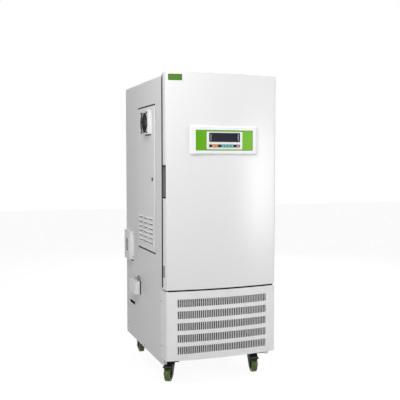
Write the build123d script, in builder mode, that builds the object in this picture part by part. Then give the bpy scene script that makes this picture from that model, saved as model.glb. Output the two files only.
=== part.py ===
"""Plant growth chamber: a floor-standing cabinet on castors with a side-hinged door.

The front looks along minus Y, plus X is the right side seen from the front, plus Z is up.
The origin is on the floor under the middle of the cabinet. All sizes are in millimetres.
"""

import os
from math import cos, radians, sin, sqrt

from build123d import *

os.makedirs("parts", exist_ok=True)

# Cabinet
cabinet_width = 600.0
cabinet_depth = 800.0
front_bow = 24.0
front_corner = 14.0
castor_height = 107.0
base_height = 35.0
grille_height = 348.5
door_gap = 8.0
door_height = 1075.5
door_top_step = 8.0
sheet = 1.5
fold_radius = 10.0
frame_setback = 66.0
flange_width = 24.0

# Clearances
seat_gap = 0.3
running_gap = 0.05
foam_gap = 0.5

# Door
skin_depth = 38.0
door_depth = 54.0
rim_inset = 1.0
gasket_inset = 14.0
gasket_width = 20.0
gasket_clearance = 0.5
door_pan_depth = 4.0
door_pan_margin = 70.0
hinge_inset = 12.0
hinge_back = 30.0
hinge_pin_radius = 5.0
hinge_pin_length = 16.0
hinge_plate = 4.0
hinge_plate_width = 34.0
hinge_tail = 60.0

# Handle recess and latch plate in the door's left edge
handle_height = 165.0
handle_rise = 456.0
handle_reach = 30.0
handle_front = 3.0
handle_wall = 2.0
latch_height = 58.0
latch_rise = 61.5
latch_front = 14.0
latch_length = 34.0
latch_depth = 3.0

# Control panel on the door
panel_centre_z = 1242.0
bezel_width = 360.0
bezel_height = 144.0
bezel_proud = 8.0
bezel_bevel = 7.0
fascia_width = 307.0
fascia_height = 101.5
fascia_recess = 1.0
fascia_thick = 2.0
display_width = 166.5
display_height = 45.8
display_rise = 14.7
display_proud = 1.0
key_strip_height = 14.7
key_strip_drop = 27.5
key_pitch = 16.65
key_width = 15.6
key_height = 12.0
key_proud = 1.0
key_travel = 0.8
key_lip = 1.5
key_lip_thick = 1.2
key_clearance = 0.25
key_columns = (-3.63, -2.63, -0.60, 0.40, 1.40, 2.40, 4.33)
key_names = ("1", "2", "3", "4", "5", "6", "7")

# Grille panel
slit_columns = 49
slit_rows = 5
slit_pitch = 9.92
slit_width = 4.8
slit_height = 38.3
slit_row_pitch = 59.4
slit_drop = 3.5
panel_lap = 22.0
panel_flange = 20.0

# Chamber
chamber_width = 470.0
liner_sheet = 1.2
chamber_floor_rise = 49.5
chamber_top_drop = 55.0
rear_wall = 62.0
front_frame_depth = 18.0
frame_drop = 4.5
duct_depth = 75.0
duct_sheet = 1.2

# Lamp compartments, one in each side wall
cover_setback = 183.0
cover_length = 327.0
cover_rise = 165.5
cover_height = 760.0
cover_gap = 4.0
cover_proud = 5.0
cover_fold = 11.5
cover_pin_radius = 2.0
cover_pin_inset = 4.0
cover_lug = 3.4
tray_pan_depth = 8.0
tray_margin = 13.0
window_margin_y = 26.0
window_height = 598.0
glass_thick = 4.0
glass_lap = 9.0
lamp_count = 4
lamp_pitch = 62.0
lamp_radius = 13.0
lamp_length = 590.0
lamp_cap = 8.0
lamp_pin = 6.0
lamp_offset = 27.0
holder_thick = 18.0
rail_height = 20.0
rail_width = 30.0

# Louvres and exhaust fan on each lamp cover
louvre_columns = 3
louvre_rows = 6
louvre_pitch_y = 97.0
louvre_pitch_z = 24.8
louvre_length = 74.0
louvre_height = 9.0
louvre_proud = 5.0
louvre_front = 252.0
louvre_low_rise = 46.0
fan_box_length = 128.0
fan_box_height = 124.0
fan_box_proud = 20.0
fan_setback = 296.0
fan_drop = 83.5
fan_bore = 52.0
fan_frame_size = 119.0
fan_frame_depth = 25.0
fan_frame_bore = 56.0
fan_hub_radius = 20.0
fan_blades = 7
fan_hole_pitch = 105.0
fan_screw_radius = 2.2
guard_proud = 9.0
guard_wire = 2.2
guard_rings = (14.0, 27.0, 40.0, 52.0)
lock_setback = 218.0
lock_rise = 0.5
lock_radius = 8.0
lock_rim = 10.0
lock_rim_thick = 2.0
lock_cam_reach = 31.0
lock_cam_width = 12.0
lock_cam_thick = 2.5
cam_pocket = 12.0

# Breaker box, mains inlet and its cover, and the vent slot, all on the left side
breaker_back = 36.0
breaker_length = 121.0
breaker_z = 564.0
breaker_height = 170.0
breaker_depth = 22.5
breaker_flange = 18.0
breaker_wall = 2.0
breaker_slot_width = 12.0
breaker_slot_height = 72.0
toggle_radius = 6.5
toggle_recess = 14.0
toggle_reach = 13.0
toggle_pin_radius = 1.5
toggle_half = 4.5
cheek_width = 3.5
inlet_back = 202.0
inlet_length = 122.0
inlet_z = 389.0
inlet_height = 77.0
inlet_base = 7.0
inlet_cover_depth = 26.2
inlet_cover_wall = 2.0
inlet_knuckle = 2.5
inlet_knuckle_length = 40.0
inlet_pin_radius = 1.2
inlet_ear = 5.0
gland_radius = 7.5
gland_height = 28.0
vent_slot_back = 79.0
vent_slot_length = 113.0
vent_slot_z = 303.0
vent_slot_height = 18.0

# Shelves
shelf_levels = (0.25, 0.50, 0.75)
shelf_back = 11.0
shelf_front = 60.0
shelf_bar = 5.0
shelf_wire = 3.0
shelf_wires = 22
upright_width = 24.0
upright_depth = 6.0
upright_front = 40.0
shelf_rail_reach = 12.0
shelf_rail_sheet = 2.0

# Machine bay
channel_width = 95.0
channel_sheet = 2.0
deck_sheet = 1.5
compressor_offset = 120.0
compressor_back = 190.0
compressor_radius = 78.0
compressor_height = 175.0
compressor_foot_length = 180.0
compressor_foot_width = 130.0
condenser_width = 360.0
condenser_height = 250.0
condenser_depth = 44.0
condenser_fins = 24
condenser_setback = 100.0
condenser_fan_radius = 100.0
condenser_hub_radius = 32.0
evaporator_width = 380.0
evaporator_height = 240.0
evaporator_depth = 30.0
evaporator_fins = 20

# Castors
castor_inset_x = 65.0
castor_front = 144.0
castor_rear = 75.0
castor_plate = 70.0
castor_plate_thick = 3.0
raceway_radius = 27.0
raceway_height = 12.0
wheel_radius = 37.5
wheel_width = 32.0
wheel_hub_radius = 14.0
axle_radius = 5.0
fork_inner = 19.0
fork_sheet = 3.0
crown_thick = 5.7
castor_trail = 25.0
pedal_reach = 53.0
pedal_width = 48.0
pedal_pin_radius = 2.5
front_left_heading = 32.0
front_right_heading = 10.0
rear_left_heading = 8.0
rear_right_heading = 20.0

# Levels worked out from the driving sizes
chord_y = front_bow - (cabinet_depth + front_bow) / 2
back_y = chord_y + cabinet_depth
frame_y = chord_y + frame_setback
base_z = castor_height
panel_z = base_z + base_height
panel_top_z = panel_z + grille_height
door_z = panel_top_z + door_gap
door_top_z = door_z + door_height
top_z = door_top_z - door_top_step
half_width = cabinet_width / 2
shell_side = half_width - sheet
shell_inner = shell_side - sheet
bow_radius = (half_width**2 + front_bow**2) / (2 * front_bow)
bow_centre_y = chord_y - front_bow + bow_radius
liner_side = chamber_width / 2 + liner_sheet
chamber_z = door_z + chamber_floor_rise
chamber_top_z = top_z - chamber_top_drop
liner_front_y = frame_y + front_frame_depth
liner_back_y = back_y - rear_wall
frame_bottom_z = door_z - frame_drop
duct_y = liner_back_y - duct_depth
cover_y0 = chord_y + cover_setback
cover_y1 = cover_y0 + cover_length
cover_z0 = door_z + cover_rise
cover_z1 = cover_z0 + cover_height
cover_mid_z = (cover_z0 + cover_z1) / 2
cover_face = shell_side + cover_proud
hinge_x = half_width - hinge_inset
hinge_y = chord_y + hinge_back
bezel_face_y = chord_y - front_bow - bezel_proud


def save(part, name):
    """Label a finished piece and write it as its own STEP file."""
    part.label = name
    export_step(part, "parts/" + name + ".step")


def block(x0, x1, y0, y1, z0, z1, mode=Mode.ADD):
    """A straight-sided block between two corners, in whichever order they are given."""
    centre = ((x0 + x1) / 2, (y0 + y1) / 2, (z0 + z1) / 2)
    with Locations(centre):
        Box(abs(x1 - x0), abs(y1 - y0), abs(z1 - z0), mode=mode)


def front_plan(inset, rear_y):
    """Plan of the bowed front, drawn parallel to the outside and closed at rear_y."""
    radius = bow_radius - inset
    side = half_width - inset
    side_y = bow_centre_y - sqrt(radius**2 - side**2)
    with BuildSketch() as plan:
        with BuildLine():
            ThreePointArc((-side, side_y), (0, bow_centre_y - radius), (side, side_y))
            Polyline((side, side_y), (side, rear_y), (-side, rear_y), (-side, side_y))
        make_face()
        fillet(plan.vertices().group_by(Axis.Y)[0], front_corner - inset)
    return plan.sketch


def side_plane(side, x):
    """A sketch plane on a side wall: its own Z points out of the cabinet, its Y points up."""
    return Plane(origin=(side * x, 0, 0), x_dir=(0, side, 0), z_dir=(side, 0, 0))


def bent_edges(part):
    """The edges where the wrapper is bent: front uprights, top sides and top front."""
    roof = part.faces().sort_by(Axis.Z)[-1]
    uprights = part.edges().filter_by(Axis.Z).group_by(Axis.Y)[0]
    return uprights + roof.edges().filter_by(Axis.Y) + roof.edges().group_by(Axis.Y)[0]


# Hinge plates, and the pocket in the roof where the upper one lies flush
bracket_x0 = half_width - 4 - hinge_plate_width
bracket_x1 = half_width - 4
tail_x1 = bracket_x1 - 8
pocket_z = top_z - hinge_plate
pocket_x0 = bracket_x0 - 1
pocket_x1 = tail_x1 + 1
pocket_y1 = frame_y + hinge_tail + 1

# Outer shell: one sheet bent over both sides and the top, with a turned front flange
with BuildPart() as shell_core:
    block(-shell_inner, shell_inner, frame_y + sheet, back_y + 20, base_z - 40, top_z - sheet)
    fillet(bent_edges(shell_core), fold_radius - sheet)

with BuildPart() as outer_shell:
    block(-shell_side, shell_side, frame_y, back_y, base_z, top_z)
    fillet(bent_edges(outer_shell), fold_radius)
    add(shell_core.part, mode=Mode.SUBTRACT)
    block(
        -shell_side + flange_width,
        shell_side - flange_width,
        frame_y - 5,
        frame_y + sheet + 5,
        base_z - 5,
        top_z - flange_width,
        mode=Mode.SUBTRACT,
    )
    block(
        pocket_x0 - sheet,
        pocket_x1 + sheet,
        frame_y,
        pocket_y1 + sheet,
        pocket_z - sheet,
        top_z - sheet,
    )
    block(
        pocket_x0,
        pocket_x1,
        frame_y - 5,
        pocket_y1,
        pocket_z,
        top_z + 5,
        mode=Mode.SUBTRACT,
    )
    block(
        -half_width,
        half_width,
        cover_y0 - cover_gap,
        cover_y1 + cover_gap,
        cover_z0 - cover_gap,
        cover_z1 + cover_gap,
        mode=Mode.SUBTRACT,
    )
    block(
        -half_width,
        0,
        back_y - vent_slot_back - vent_slot_length,
        back_y - vent_slot_back,
        vent_slot_z,
        vent_slot_z + vent_slot_height,
        mode=Mode.SUBTRACT,
    )
save(outer_shell.part, "outer_shell")

# Back panel, with two rows of vent slots for the machine bay
vent_count = 12
vent_pitch = 36.0
vent_length = 80.0
vent_width = 8.0
vent_row_pitch = 110.0
bay_mid_z = (panel_z + panel_top_z) / 2
with BuildPart() as back_panel:
    block(-shell_inner, shell_inner, back_y - sheet, back_y, panel_z, top_z - fold_radius)
    with BuildSketch(Plane.XZ.offset(-back_y - 1)):
        with Locations((0, bay_mid_z)):
            with GridLocations(vent_pitch, vent_row_pitch, vent_count, 2):
                SlotOverall(vent_length, vent_width, rotation=90)
    extrude(amount=sheet + 2, mode=Mode.SUBTRACT)
save(back_panel.part, "back_panel")

# Front frame: the sealing face round the chamber's mouth
with BuildPart() as front_frame:
    block(
        -shell_side + flange_width,
        shell_side - flange_width,
        frame_y,
        liner_front_y,
        frame_bottom_z,
        top_z - flange_width,
    )
    block(
        -chamber_width / 2,
        chamber_width / 2,
        frame_y - 5,
        liner_front_y + 5,
        chamber_z,
        chamber_top_z,
        mode=Mode.SUBTRACT,
    )
    mouth = front_frame.faces().filter_by(Axis.Y).sort_by(Axis.Y)[0].inner_wires()[0]
    fillet(mouth.edges(), 3.0)
save(front_frame.part, "front_frame")

# Inner liner: the stainless chamber, open in front, with a lamp window in each side
window_y0 = cover_y0 + tray_margin + window_margin_y
window_y1 = cover_y1 - tray_margin - window_margin_y
window_z0 = cover_mid_z - window_height / 2
window_z1 = cover_mid_z + window_height / 2
with BuildPart() as inner_liner:
    block(
        -liner_side,
        liner_side,
        liner_front_y,
        liner_back_y + liner_sheet,
        chamber_z - liner_sheet,
        chamber_top_z + liner_sheet,
    )
    block(
        -chamber_width / 2,
        chamber_width / 2,
        liner_front_y - 5,
        liner_back_y,
        chamber_z,
        chamber_top_z,
        mode=Mode.SUBTRACT,
    )
    block(
        -half_width,
        half_width,
        window_y0,
        window_y1,
        window_z0,
        window_z1,
        mode=Mode.SUBTRACT,
    )
save(inner_liner.part, "inner_liner")

# Lamp trays: a shallow pan that frames the cover, and a deep box that holds the tubes
pan_lap = 3.0
pan_y0 = cover_y0 - cover_gap - pan_lap
pan_y1 = cover_y1 + cover_gap + pan_lap
pan_z0 = cover_z0 - cover_gap - pan_lap
pan_z1 = cover_z1 + cover_gap + pan_lap
pan_floor_x = shell_side - tray_pan_depth
box_y0 = cover_y0 + tray_margin
box_y1 = cover_y1 - tray_margin
box_z0 = cover_z0 + tray_margin
box_z1 = cover_z1 - tray_margin
lamp_x = liner_side + sheet + lamp_offset
lamp_mid_y = (box_y0 + box_y1) / 2
rail_x0 = lamp_x - rail_width / 2
rail_x1 = lamp_x + rail_width / 2
holder_z = lamp_length / 2 + seat_gap
lock_y = chord_y + lock_setback
lock_z = cover_mid_z + lock_rise
cover_axis_y = cover_y1 - cover_pin_inset
cover_axis_x = shell_side + cover_proud - cover_pin_inset
with BuildPart() as lamp_trays:
    for side in (-1, 1):
        block(side * shell_inner, side * (pan_floor_x - sheet), pan_y0, pan_y1, pan_z0, pan_z1)
        block(
            side * (pan_floor_x - sheet),
            side * liner_side,
            box_y0 - sheet,
            box_y1 + sheet,
            box_z0 - sheet,
            box_z1 + sheet,
        )
        block(
            side * (shell_inner + 1),
            side * pan_floor_x,
            pan_y0 + sheet,
            pan_y1 - sheet,
            pan_z0 + sheet,
            pan_z1 - sheet,
            mode=Mode.SUBTRACT,
        )
        block(
            side * half_width,
            side * (liner_side + sheet),
            box_y0,
            box_y1,
            box_z0,
            box_z1,
            mode=Mode.SUBTRACT,
        )
        block(
            side * half_width,
            side * (liner_side - 1),
            window_y0,
            window_y1,
            window_z0,
            window_z1,
            mode=Mode.SUBTRACT,
        )
        block(
            side * (pan_floor_x - sheet - seat_gap),
            side * (pan_floor_x - sheet - seat_gap - lock_cam_thick - 3),
            box_y0 - 5,
            box_y0 + 5,
            lock_z - 28,
            lock_z + lock_cam_width,
            mode=Mode.SUBTRACT,
        )
        for end in (-1, 1):
            holder_end = cover_mid_z + end * (holder_z + holder_thick)
            block(
                side * rail_x0,
                side * rail_x1,
                box_y0,
                box_y1,
                holder_end,
                holder_end + end * rail_height,
            )
            with Locations((side * lamp_x, lamp_mid_y, holder_end - end * holder_thick / 2)):
                with GridLocations(1, lamp_pitch, 1, lamp_count):
                    Box(rail_width - 4, rail_width - 4, holder_thick)
            with Locations((side * lamp_x, lamp_mid_y, cover_mid_z + end * holder_z)):
                with GridLocations(1, lamp_pitch, 1, lamp_count):
                    Cylinder(4.0, 2 * lamp_pin + 2, mode=Mode.SUBTRACT)
            lug_z = cover_z1 if end > 0 else cover_z0
            block(
                side * pan_floor_x,
                side * (cover_axis_x + 3),
                cover_axis_y - 4,
                cover_axis_y + 4,
                lug_z + end * seat_gap,
                lug_z + end * (seat_gap + cover_lug),
            )
            with Locations((side * cover_axis_x, cover_axis_y, lug_z)):
                Cylinder(cover_pin_radius + running_gap, 20, mode=Mode.SUBTRACT)
save(lamp_trays.part, "lamp_trays")

# Lamp windows: a glass pane behind each window, seated on the tray
with BuildPart() as lamp_windows:
    for side in (-1, 1):
        block(
            side * (liner_side + sheet),
            side * (liner_side + sheet + glass_thick),
            window_y0 - glass_lap,
            window_y1 + glass_lap,
            window_z0 - glass_lap,
            window_z1 + glass_lap,
        )
save(lamp_windows.part, "lamp_windows")

# Lamp tubes: a glass tube with a metal cap and two pins at each end
with BuildPart() as lamp_tubes:
    for side in (-1, 1):
        for n in range(lamp_count):
            tube_y = lamp_mid_y + (n - (lamp_count - 1) / 2) * lamp_pitch
            tube_plane = Plane.XY.offset(cover_mid_z - lamp_length / 2)
            with BuildSketch(tube_plane):
                with Locations((side * lamp_x, tube_y)):
                    Circle(lamp_radius - 0.6)
            extrude(amount=lamp_length)
            with BuildSketch(tube_plane.offset(lamp_cap)):
                with Locations((side * lamp_x, tube_y)):
                    Circle(lamp_radius)
            extrude(amount=lamp_length - 2 * lamp_cap)
            with BuildSketch(tube_plane.offset(-lamp_pin)):
                with Locations((side * lamp_x, tube_y)):
                    Rectangle(1.6, 4.0)
            extrude(amount=lamp_length + 2 * lamp_pin)
save(lamp_tubes.part, "lamp_tubes")

# Insulation: foam between the shell and the liner, left out round the lamp trays
foam_side = shell_inner - foam_gap
with BuildPart() as insulation:
    block(
        -foam_side,
        foam_side,
        liner_front_y,
        back_y - sheet,
        frame_bottom_z,
        top_z - sheet - foam_gap,
    )
    fillet(insulation.faces().sort_by(Axis.Z)[-1].edges().filter_by(Axis.Y), fold_radius)
    block(
        -liner_side,
        liner_side,
        liner_front_y - 5,
        liner_back_y + liner_sheet,
        chamber_z - liner_sheet,
        chamber_top_z + liner_sheet,
        mode=Mode.SUBTRACT,
    )
    block(
        pocket_x0 - sheet - foam_gap,
        half_width,
        frame_y,
        pocket_y1 + sheet + foam_gap,
        pocket_z - sheet - foam_gap,
        top_z,
        mode=Mode.SUBTRACT,
    )
    for side in (-1, 1):
        block(
            side * half_width,
            side * (pan_floor_x - sheet),
            pan_y0,
            pan_y1,
            pan_z0,
            pan_z1,
            mode=Mode.SUBTRACT,
        )
        block(
            side * half_width,
            side * (liner_side - 1),
            box_y0 - sheet,
            box_y1 + sheet,
            box_z0 - sheet,
            box_z1 + sheet,
            mode=Mode.SUBTRACT,
        )
        block(
            side * pan_floor_x,
            side * (pan_floor_x - sheet - cam_pocket),
            box_y0 - sheet - cam_pocket,
            box_y0,
            lock_z - 34,
            lock_z + 20,
            mode=Mode.SUBTRACT,
        )
save(insulation.part, "insulation")

# Base frame: a channel along each side, two cross members and the machine deck
with BuildPart() as base_frame:
    for side in (-1, 1):
        x_out = side * shell_inner
        x_in = side * (shell_inner - channel_width)
        block(x_out, x_in, frame_y + sheet, back_y - sheet, base_z, panel_z)
        block(
            side * (shell_inner - channel_sheet),
            side * (shell_inner - channel_width - 5),
            frame_y,
            back_y,
            base_z + channel_sheet,
            panel_z - channel_sheet,
            mode=Mode.SUBTRACT,
        )
    cross_half = shell_inner - channel_width + 8
    for y0, y1 in ((back_y - sheet - 40, back_y - sheet), (-30.0, 10.0)):
        block(-cross_half, cross_half, y0, y1, base_z + channel_sheet, panel_z - channel_sheet)
    block(
        -shell_inner,
        shell_inner,
        frame_y + flange_width,
        back_y - sheet,
        panel_z,
        panel_z + deck_sheet,
    )
    corner_posts = [
        (side, y) for side in (-1, 1) for y in (frame_y + flange_width, back_y - sheet - 25)
    ]
    for side, y in corner_posts:
        block(
            side * shell_inner,
            side * (shell_inner - 25),
            y,
            y + 25,
            panel_z + deck_sheet,
            frame_bottom_z,
        )
        block(
            side * (shell_inner - sheet),
            side * (shell_inner - 30),
            y + (sheet if y < 0 else -5),
            y + (30 if y < 0 else 25 - sheet),
            panel_z + deck_sheet,
            frame_bottom_z + 1,
            mode=Mode.SUBTRACT,
        )
    add(shell_core.part, mode=Mode.INTERSECT)
save(base_frame.part, "base_frame")

# Grille panel: a bowed sheet with side, top and bottom returns, cut by rows of slits
panel_rear_y = frame_y + panel_lap
slit_mid_z = (panel_z + panel_top_z) / 2 - slit_drop
with BuildPart() as grille_panel:
    with BuildSketch(Plane.XY.offset(panel_z)):
        add(front_plan(0, panel_rear_y))
    extrude(amount=grille_height)
    with BuildSketch(Plane.XY.offset(panel_z + sheet)):
        add(front_plan(sheet, panel_rear_y + 10))
    extrude(amount=grille_height - 2 * sheet, mode=Mode.SUBTRACT)
    with BuildSketch(Plane.XY.offset(panel_z - 1)):
        add(front_plan(sheet, panel_rear_y + 10))
        front_plan_back = front_plan(sheet, chord_y + panel_flange)
        add(front_plan_back, mode=Mode.SUBTRACT)
    extrude(amount=grille_height + 2, mode=Mode.SUBTRACT)
    with BuildSketch(Plane.XZ.offset(-chord_y)):
        with Locations((0, slit_mid_z)):
            with GridLocations(slit_pitch, slit_row_pitch, slit_columns, slit_rows):
                Rectangle(slit_width, slit_height)
    extrude(amount=front_bow + 5, mode=Mode.SUBTRACT)
save(grille_panel.part, "grille_panel")

# Hinge brackets: an angle under the door and a plate over it, each with its pin
lower_plate_z = panel_top_z + 2.0
pin_collar = 9.0
bracket_front = hinge_y - 12
collar_height = door_z - seat_gap - lower_plate_z - hinge_plate
notch_radius = 42.0
notch_z = pocket_z - 2.0
with BuildPart() as hinge_brackets:
    block(bracket_x0, bracket_x1, bracket_front, frame_y, lower_plate_z, lower_plate_z + hinge_plate)
    block(bracket_x0, bracket_x1, frame_y - 2.5, frame_y, lower_plate_z, door_z + 6)
    with BuildSketch(Plane.XY.offset(lower_plate_z)):
        with Locations((hinge_x, hinge_y)):
            Circle(pin_collar)
    extrude(amount=hinge_plate + collar_height)
    with BuildSketch(Plane.XY.offset(lower_plate_z)):
        with Locations((hinge_x, hinge_y)):
            Circle(hinge_pin_radius)
    extrude(amount=hinge_plate + collar_height + hinge_pin_length)
    block(bracket_x0, bracket_x1, bracket_front, frame_y, pocket_z, top_z)
    block(bracket_x0, tail_x1, frame_y - 1, frame_y + hinge_tail, pocket_z, top_z)
    with BuildSketch(Plane.XY.offset(top_z)):
        with Locations((hinge_x, hinge_y)):
            Circle(hinge_pin_radius)
    extrude(amount=-hinge_plate - hinge_pin_length)
save(hinge_brackets.part, "hinge_brackets")

# Door skin: the bowed outer pan of the door
handle_z0 = door_z + handle_rise
handle_z1 = handle_z0 + handle_height
latch_z0 = door_z + latch_rise
latch_z1 = latch_z0 + latch_height
handle_y0 = chord_y + handle_front
handle_y1 = chord_y + door_depth - 1.0
latch_y0 = chord_y + latch_front
latch_y1 = latch_y0 + latch_length
pin_hole = hinge_pin_radius + running_gap
with BuildPart() as door_skin:
    with BuildSketch(Plane.XY.offset(door_z)):
        add(front_plan(0, chord_y + skin_depth))
    extrude(amount=door_height)
    outer_edges = door_skin.faces().sort_by(Axis.Z)[-1].edges().filter_by(
        lambda e: e.center().Y < chord_y + skin_depth - 0.5
    )
    fillet(outer_edges, 3.0)
    with BuildSketch(Plane.XY.offset(door_z + sheet)):
        add(front_plan(sheet, chord_y + skin_depth + 10))
    extrude(amount=door_height - 2 * sheet - 2, mode=Mode.SUBTRACT)
    block(
        -half_width - 5,
        -half_width + handle_reach,
        handle_y0,
        chord_y + skin_depth + 5,
        handle_z0,
        handle_z1,
        mode=Mode.SUBTRACT,
    )
    block(
        -half_width - 5,
        -half_width + sheet + 1,
        latch_y0,
        chord_y + skin_depth + 5,
        latch_z0,
        latch_z1,
        mode=Mode.SUBTRACT,
    )
    block(
        hinge_x - notch_radius,
        half_width + 5,
        hinge_y - 16,
        chord_y + skin_depth + 5,
        notch_z,
        door_top_z + 5,
        mode=Mode.SUBTRACT,
    )
    with Locations((hinge_x, hinge_y, door_z)):
        Cylinder(pin_hole, 10, mode=Mode.SUBTRACT)
save(door_skin.part, "door_skin")

# Door liner: the foamed core inside the skin, and the inner door pan with its rim
core_inset = sheet + seat_gap
pan_half = half_width - door_pan_margin
with BuildPart() as door_liner:
    with BuildSketch(Plane.XY.offset(door_z + core_inset)):
        add(front_plan(core_inset, chord_y + skin_depth))
    extrude(amount=door_height - 2 * core_inset - 2)
    block(
        -half_width + rim_inset,
        half_width - rim_inset,
        chord_y + skin_depth,
        chord_y + door_depth,
        door_z + rim_inset,
        door_top_z - rim_inset,
    )
    fillet(door_liner.faces().sort_by(Axis.Y)[-1].edges(), 2.0)
    with BuildSketch(Plane.XZ.offset(-chord_y - door_depth - 1)):
        with Locations((0, (door_z + door_top_z) / 2)):
            RectangleRounded(2 * pan_half, door_height - 2 * door_pan_margin, 20)
    extrude(amount=door_pan_depth + 1, mode=Mode.SUBTRACT)
    block(
        -half_width - 5,
        -half_width + handle_reach,
        handle_y0,
        handle_y1,
        handle_z0,
        handle_z1,
        mode=Mode.SUBTRACT,
    )
    block(
        -half_width - 5,
        -half_width + latch_depth,
        latch_y0,
        latch_y1,
        latch_z0,
        latch_z1,
        mode=Mode.SUBTRACT,
    )
    block(
        hinge_x - notch_radius,
        half_width + 5,
        hinge_y - 16,
        frame_y,
        notch_z,
        door_top_z + 5,
        mode=Mode.SUBTRACT,
    )
    for z in (door_z, notch_z):
        with Locations((hinge_x, hinge_y, z)):
            Cylinder(pin_hole, 2 * (hinge_pin_length + 3), mode=Mode.SUBTRACT)
save(door_liner.part, "door_liner")

# Door gasket: a soft ring between the door and the front frame
gasket_outer = half_width - gasket_inset
gasket_z0 = door_z + gasket_inset
gasket_z1 = top_z - gasket_inset
with BuildPart() as door_gasket:
    with BuildSketch(Plane.XZ.offset(-chord_y - door_depth)):
        with Locations((0, (gasket_z0 + gasket_z1) / 2)):
            RectangleRounded(2 * gasket_outer, gasket_z1 - gasket_z0, 8)
            gasket_inner = gasket_outer - gasket_width
            RectangleRounded(
                2 * gasket_inner,
                gasket_z1 - gasket_z0 - 2 * gasket_width,
                4,
                mode=Mode.SUBTRACT,
            )
    extrude(amount=-(frame_setback - door_depth - gasket_clearance))
save(door_gasket.part, "door_gasket")

# Door handle: the grip cup in the door's edge, and the latch plate below it
with BuildPart() as handle_limit:
    with BuildSketch(Plane.XY.offset(door_z)):
        add(front_plan(0.2, chord_y + door_depth))
    extrude(amount=door_height)

with BuildPart() as door_handle:
    block(
        -half_width + 0.2,
        -half_width + handle_reach,
        handle_y0,
        handle_y1,
        handle_z0,
        handle_z1,
    )
    block(
        -half_width - 5,
        -half_width + handle_reach - handle_wall,
        handle_y0 + handle_wall,
        handle_y1 - handle_wall,
        handle_z0 + handle_wall,
        handle_z1 - handle_wall,
        mode=Mode.SUBTRACT,
    )
    block(
        -half_width + 0.5,
        -half_width + latch_depth,
        latch_y0,
        latch_y1,
        latch_z0,
        latch_z1,
    )
    add(handle_limit.part, mode=Mode.INTERSECT)
save(door_handle.part, "door_handle")

# Control panel: bezel, fascia, display, key strip and keys
fascia_y = bezel_face_y + fascia_recess
key_cavity_y = fascia_y + fascia_thick
key_cavity_depth = 4.0
strip_z = panel_centre_z - key_strip_drop
key_hole_width = key_width + 2 * key_clearance
key_hole_height = key_height + 2 * key_clearance
with BuildPart() as door_body:
    with BuildSketch(Plane.XY.offset(door_z)):
        add(front_plan(-0.2, chord_y + skin_depth))
    extrude(amount=door_height)

with BuildPart() as display_bezel:
    with BuildSketch(Plane.XZ.offset(-bezel_face_y)):
        with Locations((0, panel_centre_z)):
            RectangleRounded(bezel_width, bezel_height, bezel_bevel + 2)
    extrude(amount=-(bezel_proud + front_bow))
    chamfer(display_bezel.faces().sort_by(Axis.Y)[0].edges(), bezel_bevel)
    add(door_body.part, mode=Mode.SUBTRACT)
    with BuildSketch(Plane.XZ.offset(-bezel_face_y)):
        with Locations((0, panel_centre_z)):
            Rectangle(fascia_width, fascia_height)
    extrude(amount=-(fascia_recess + fascia_thick), mode=Mode.SUBTRACT)
    with BuildSketch(Plane.XZ.offset(-key_cavity_y)):
        with Locations((0, strip_z)):
            Rectangle(display_width, key_height + 2 * key_lip + 1)
    extrude(amount=-key_cavity_depth, mode=Mode.SUBTRACT)
save(display_bezel.part, "display_bezel")


def key_locations():
    """Places of the seven keys along the key strip."""
    return Locations(*[(column * key_pitch, strip_z) for column in key_columns])


with BuildPart() as display_fascia:
    with BuildSketch(Plane.XZ.offset(-key_cavity_y)):
        with Locations((0, panel_centre_z)):
            Rectangle(fascia_width, fascia_height)
        with key_locations():
            Rectangle(key_hole_width, key_hole_height, mode=Mode.SUBTRACT)
    extrude(amount=fascia_thick)
save(display_fascia.part, "display_fascia")

with BuildPart() as display_window:
    with BuildSketch(Plane.XZ.offset(-fascia_y)):
        with Locations((0, panel_centre_z + display_rise)):
            RectangleRounded(display_width, display_height, 3)
    extrude(amount=display_proud)
save(display_window.part, "display_window")

with BuildPart() as key_strip:
    with BuildSketch(Plane.XZ.offset(-fascia_y)):
        with Locations((0, strip_z)):
            RectangleRounded(display_width, key_strip_height, 4)
        with key_locations():
            Rectangle(key_hole_width, key_hole_height, mode=Mode.SUBTRACT)
    extrude(amount=display_proud)
save(key_strip.part, "key_strip")

key_face_y = fascia_y - display_proud - key_proud
key_lip_y = key_cavity_y + 0.2
for name, column in zip(key_names, key_columns):
    with BuildPart() as key:
        with BuildSketch(Plane.XZ.offset(-key_face_y)):
            with Locations((column * key_pitch, strip_z)):
                Rectangle(key_width, key_height)
        extrude(amount=-(key_lip_y + key_lip_thick - key_face_y))
        chamfer(key.faces().sort_by(Axis.Y)[0].edges(), 0.5)
        with BuildSketch(Plane.XZ.offset(-key_lip_y)):
            with Locations((column * key_pitch, strip_z)):
                Rectangle(key_width, key_height + 2 * key_lip)
        extrude(amount=-key_lip_thick)
    save(key.part, "key_" + name)

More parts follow.
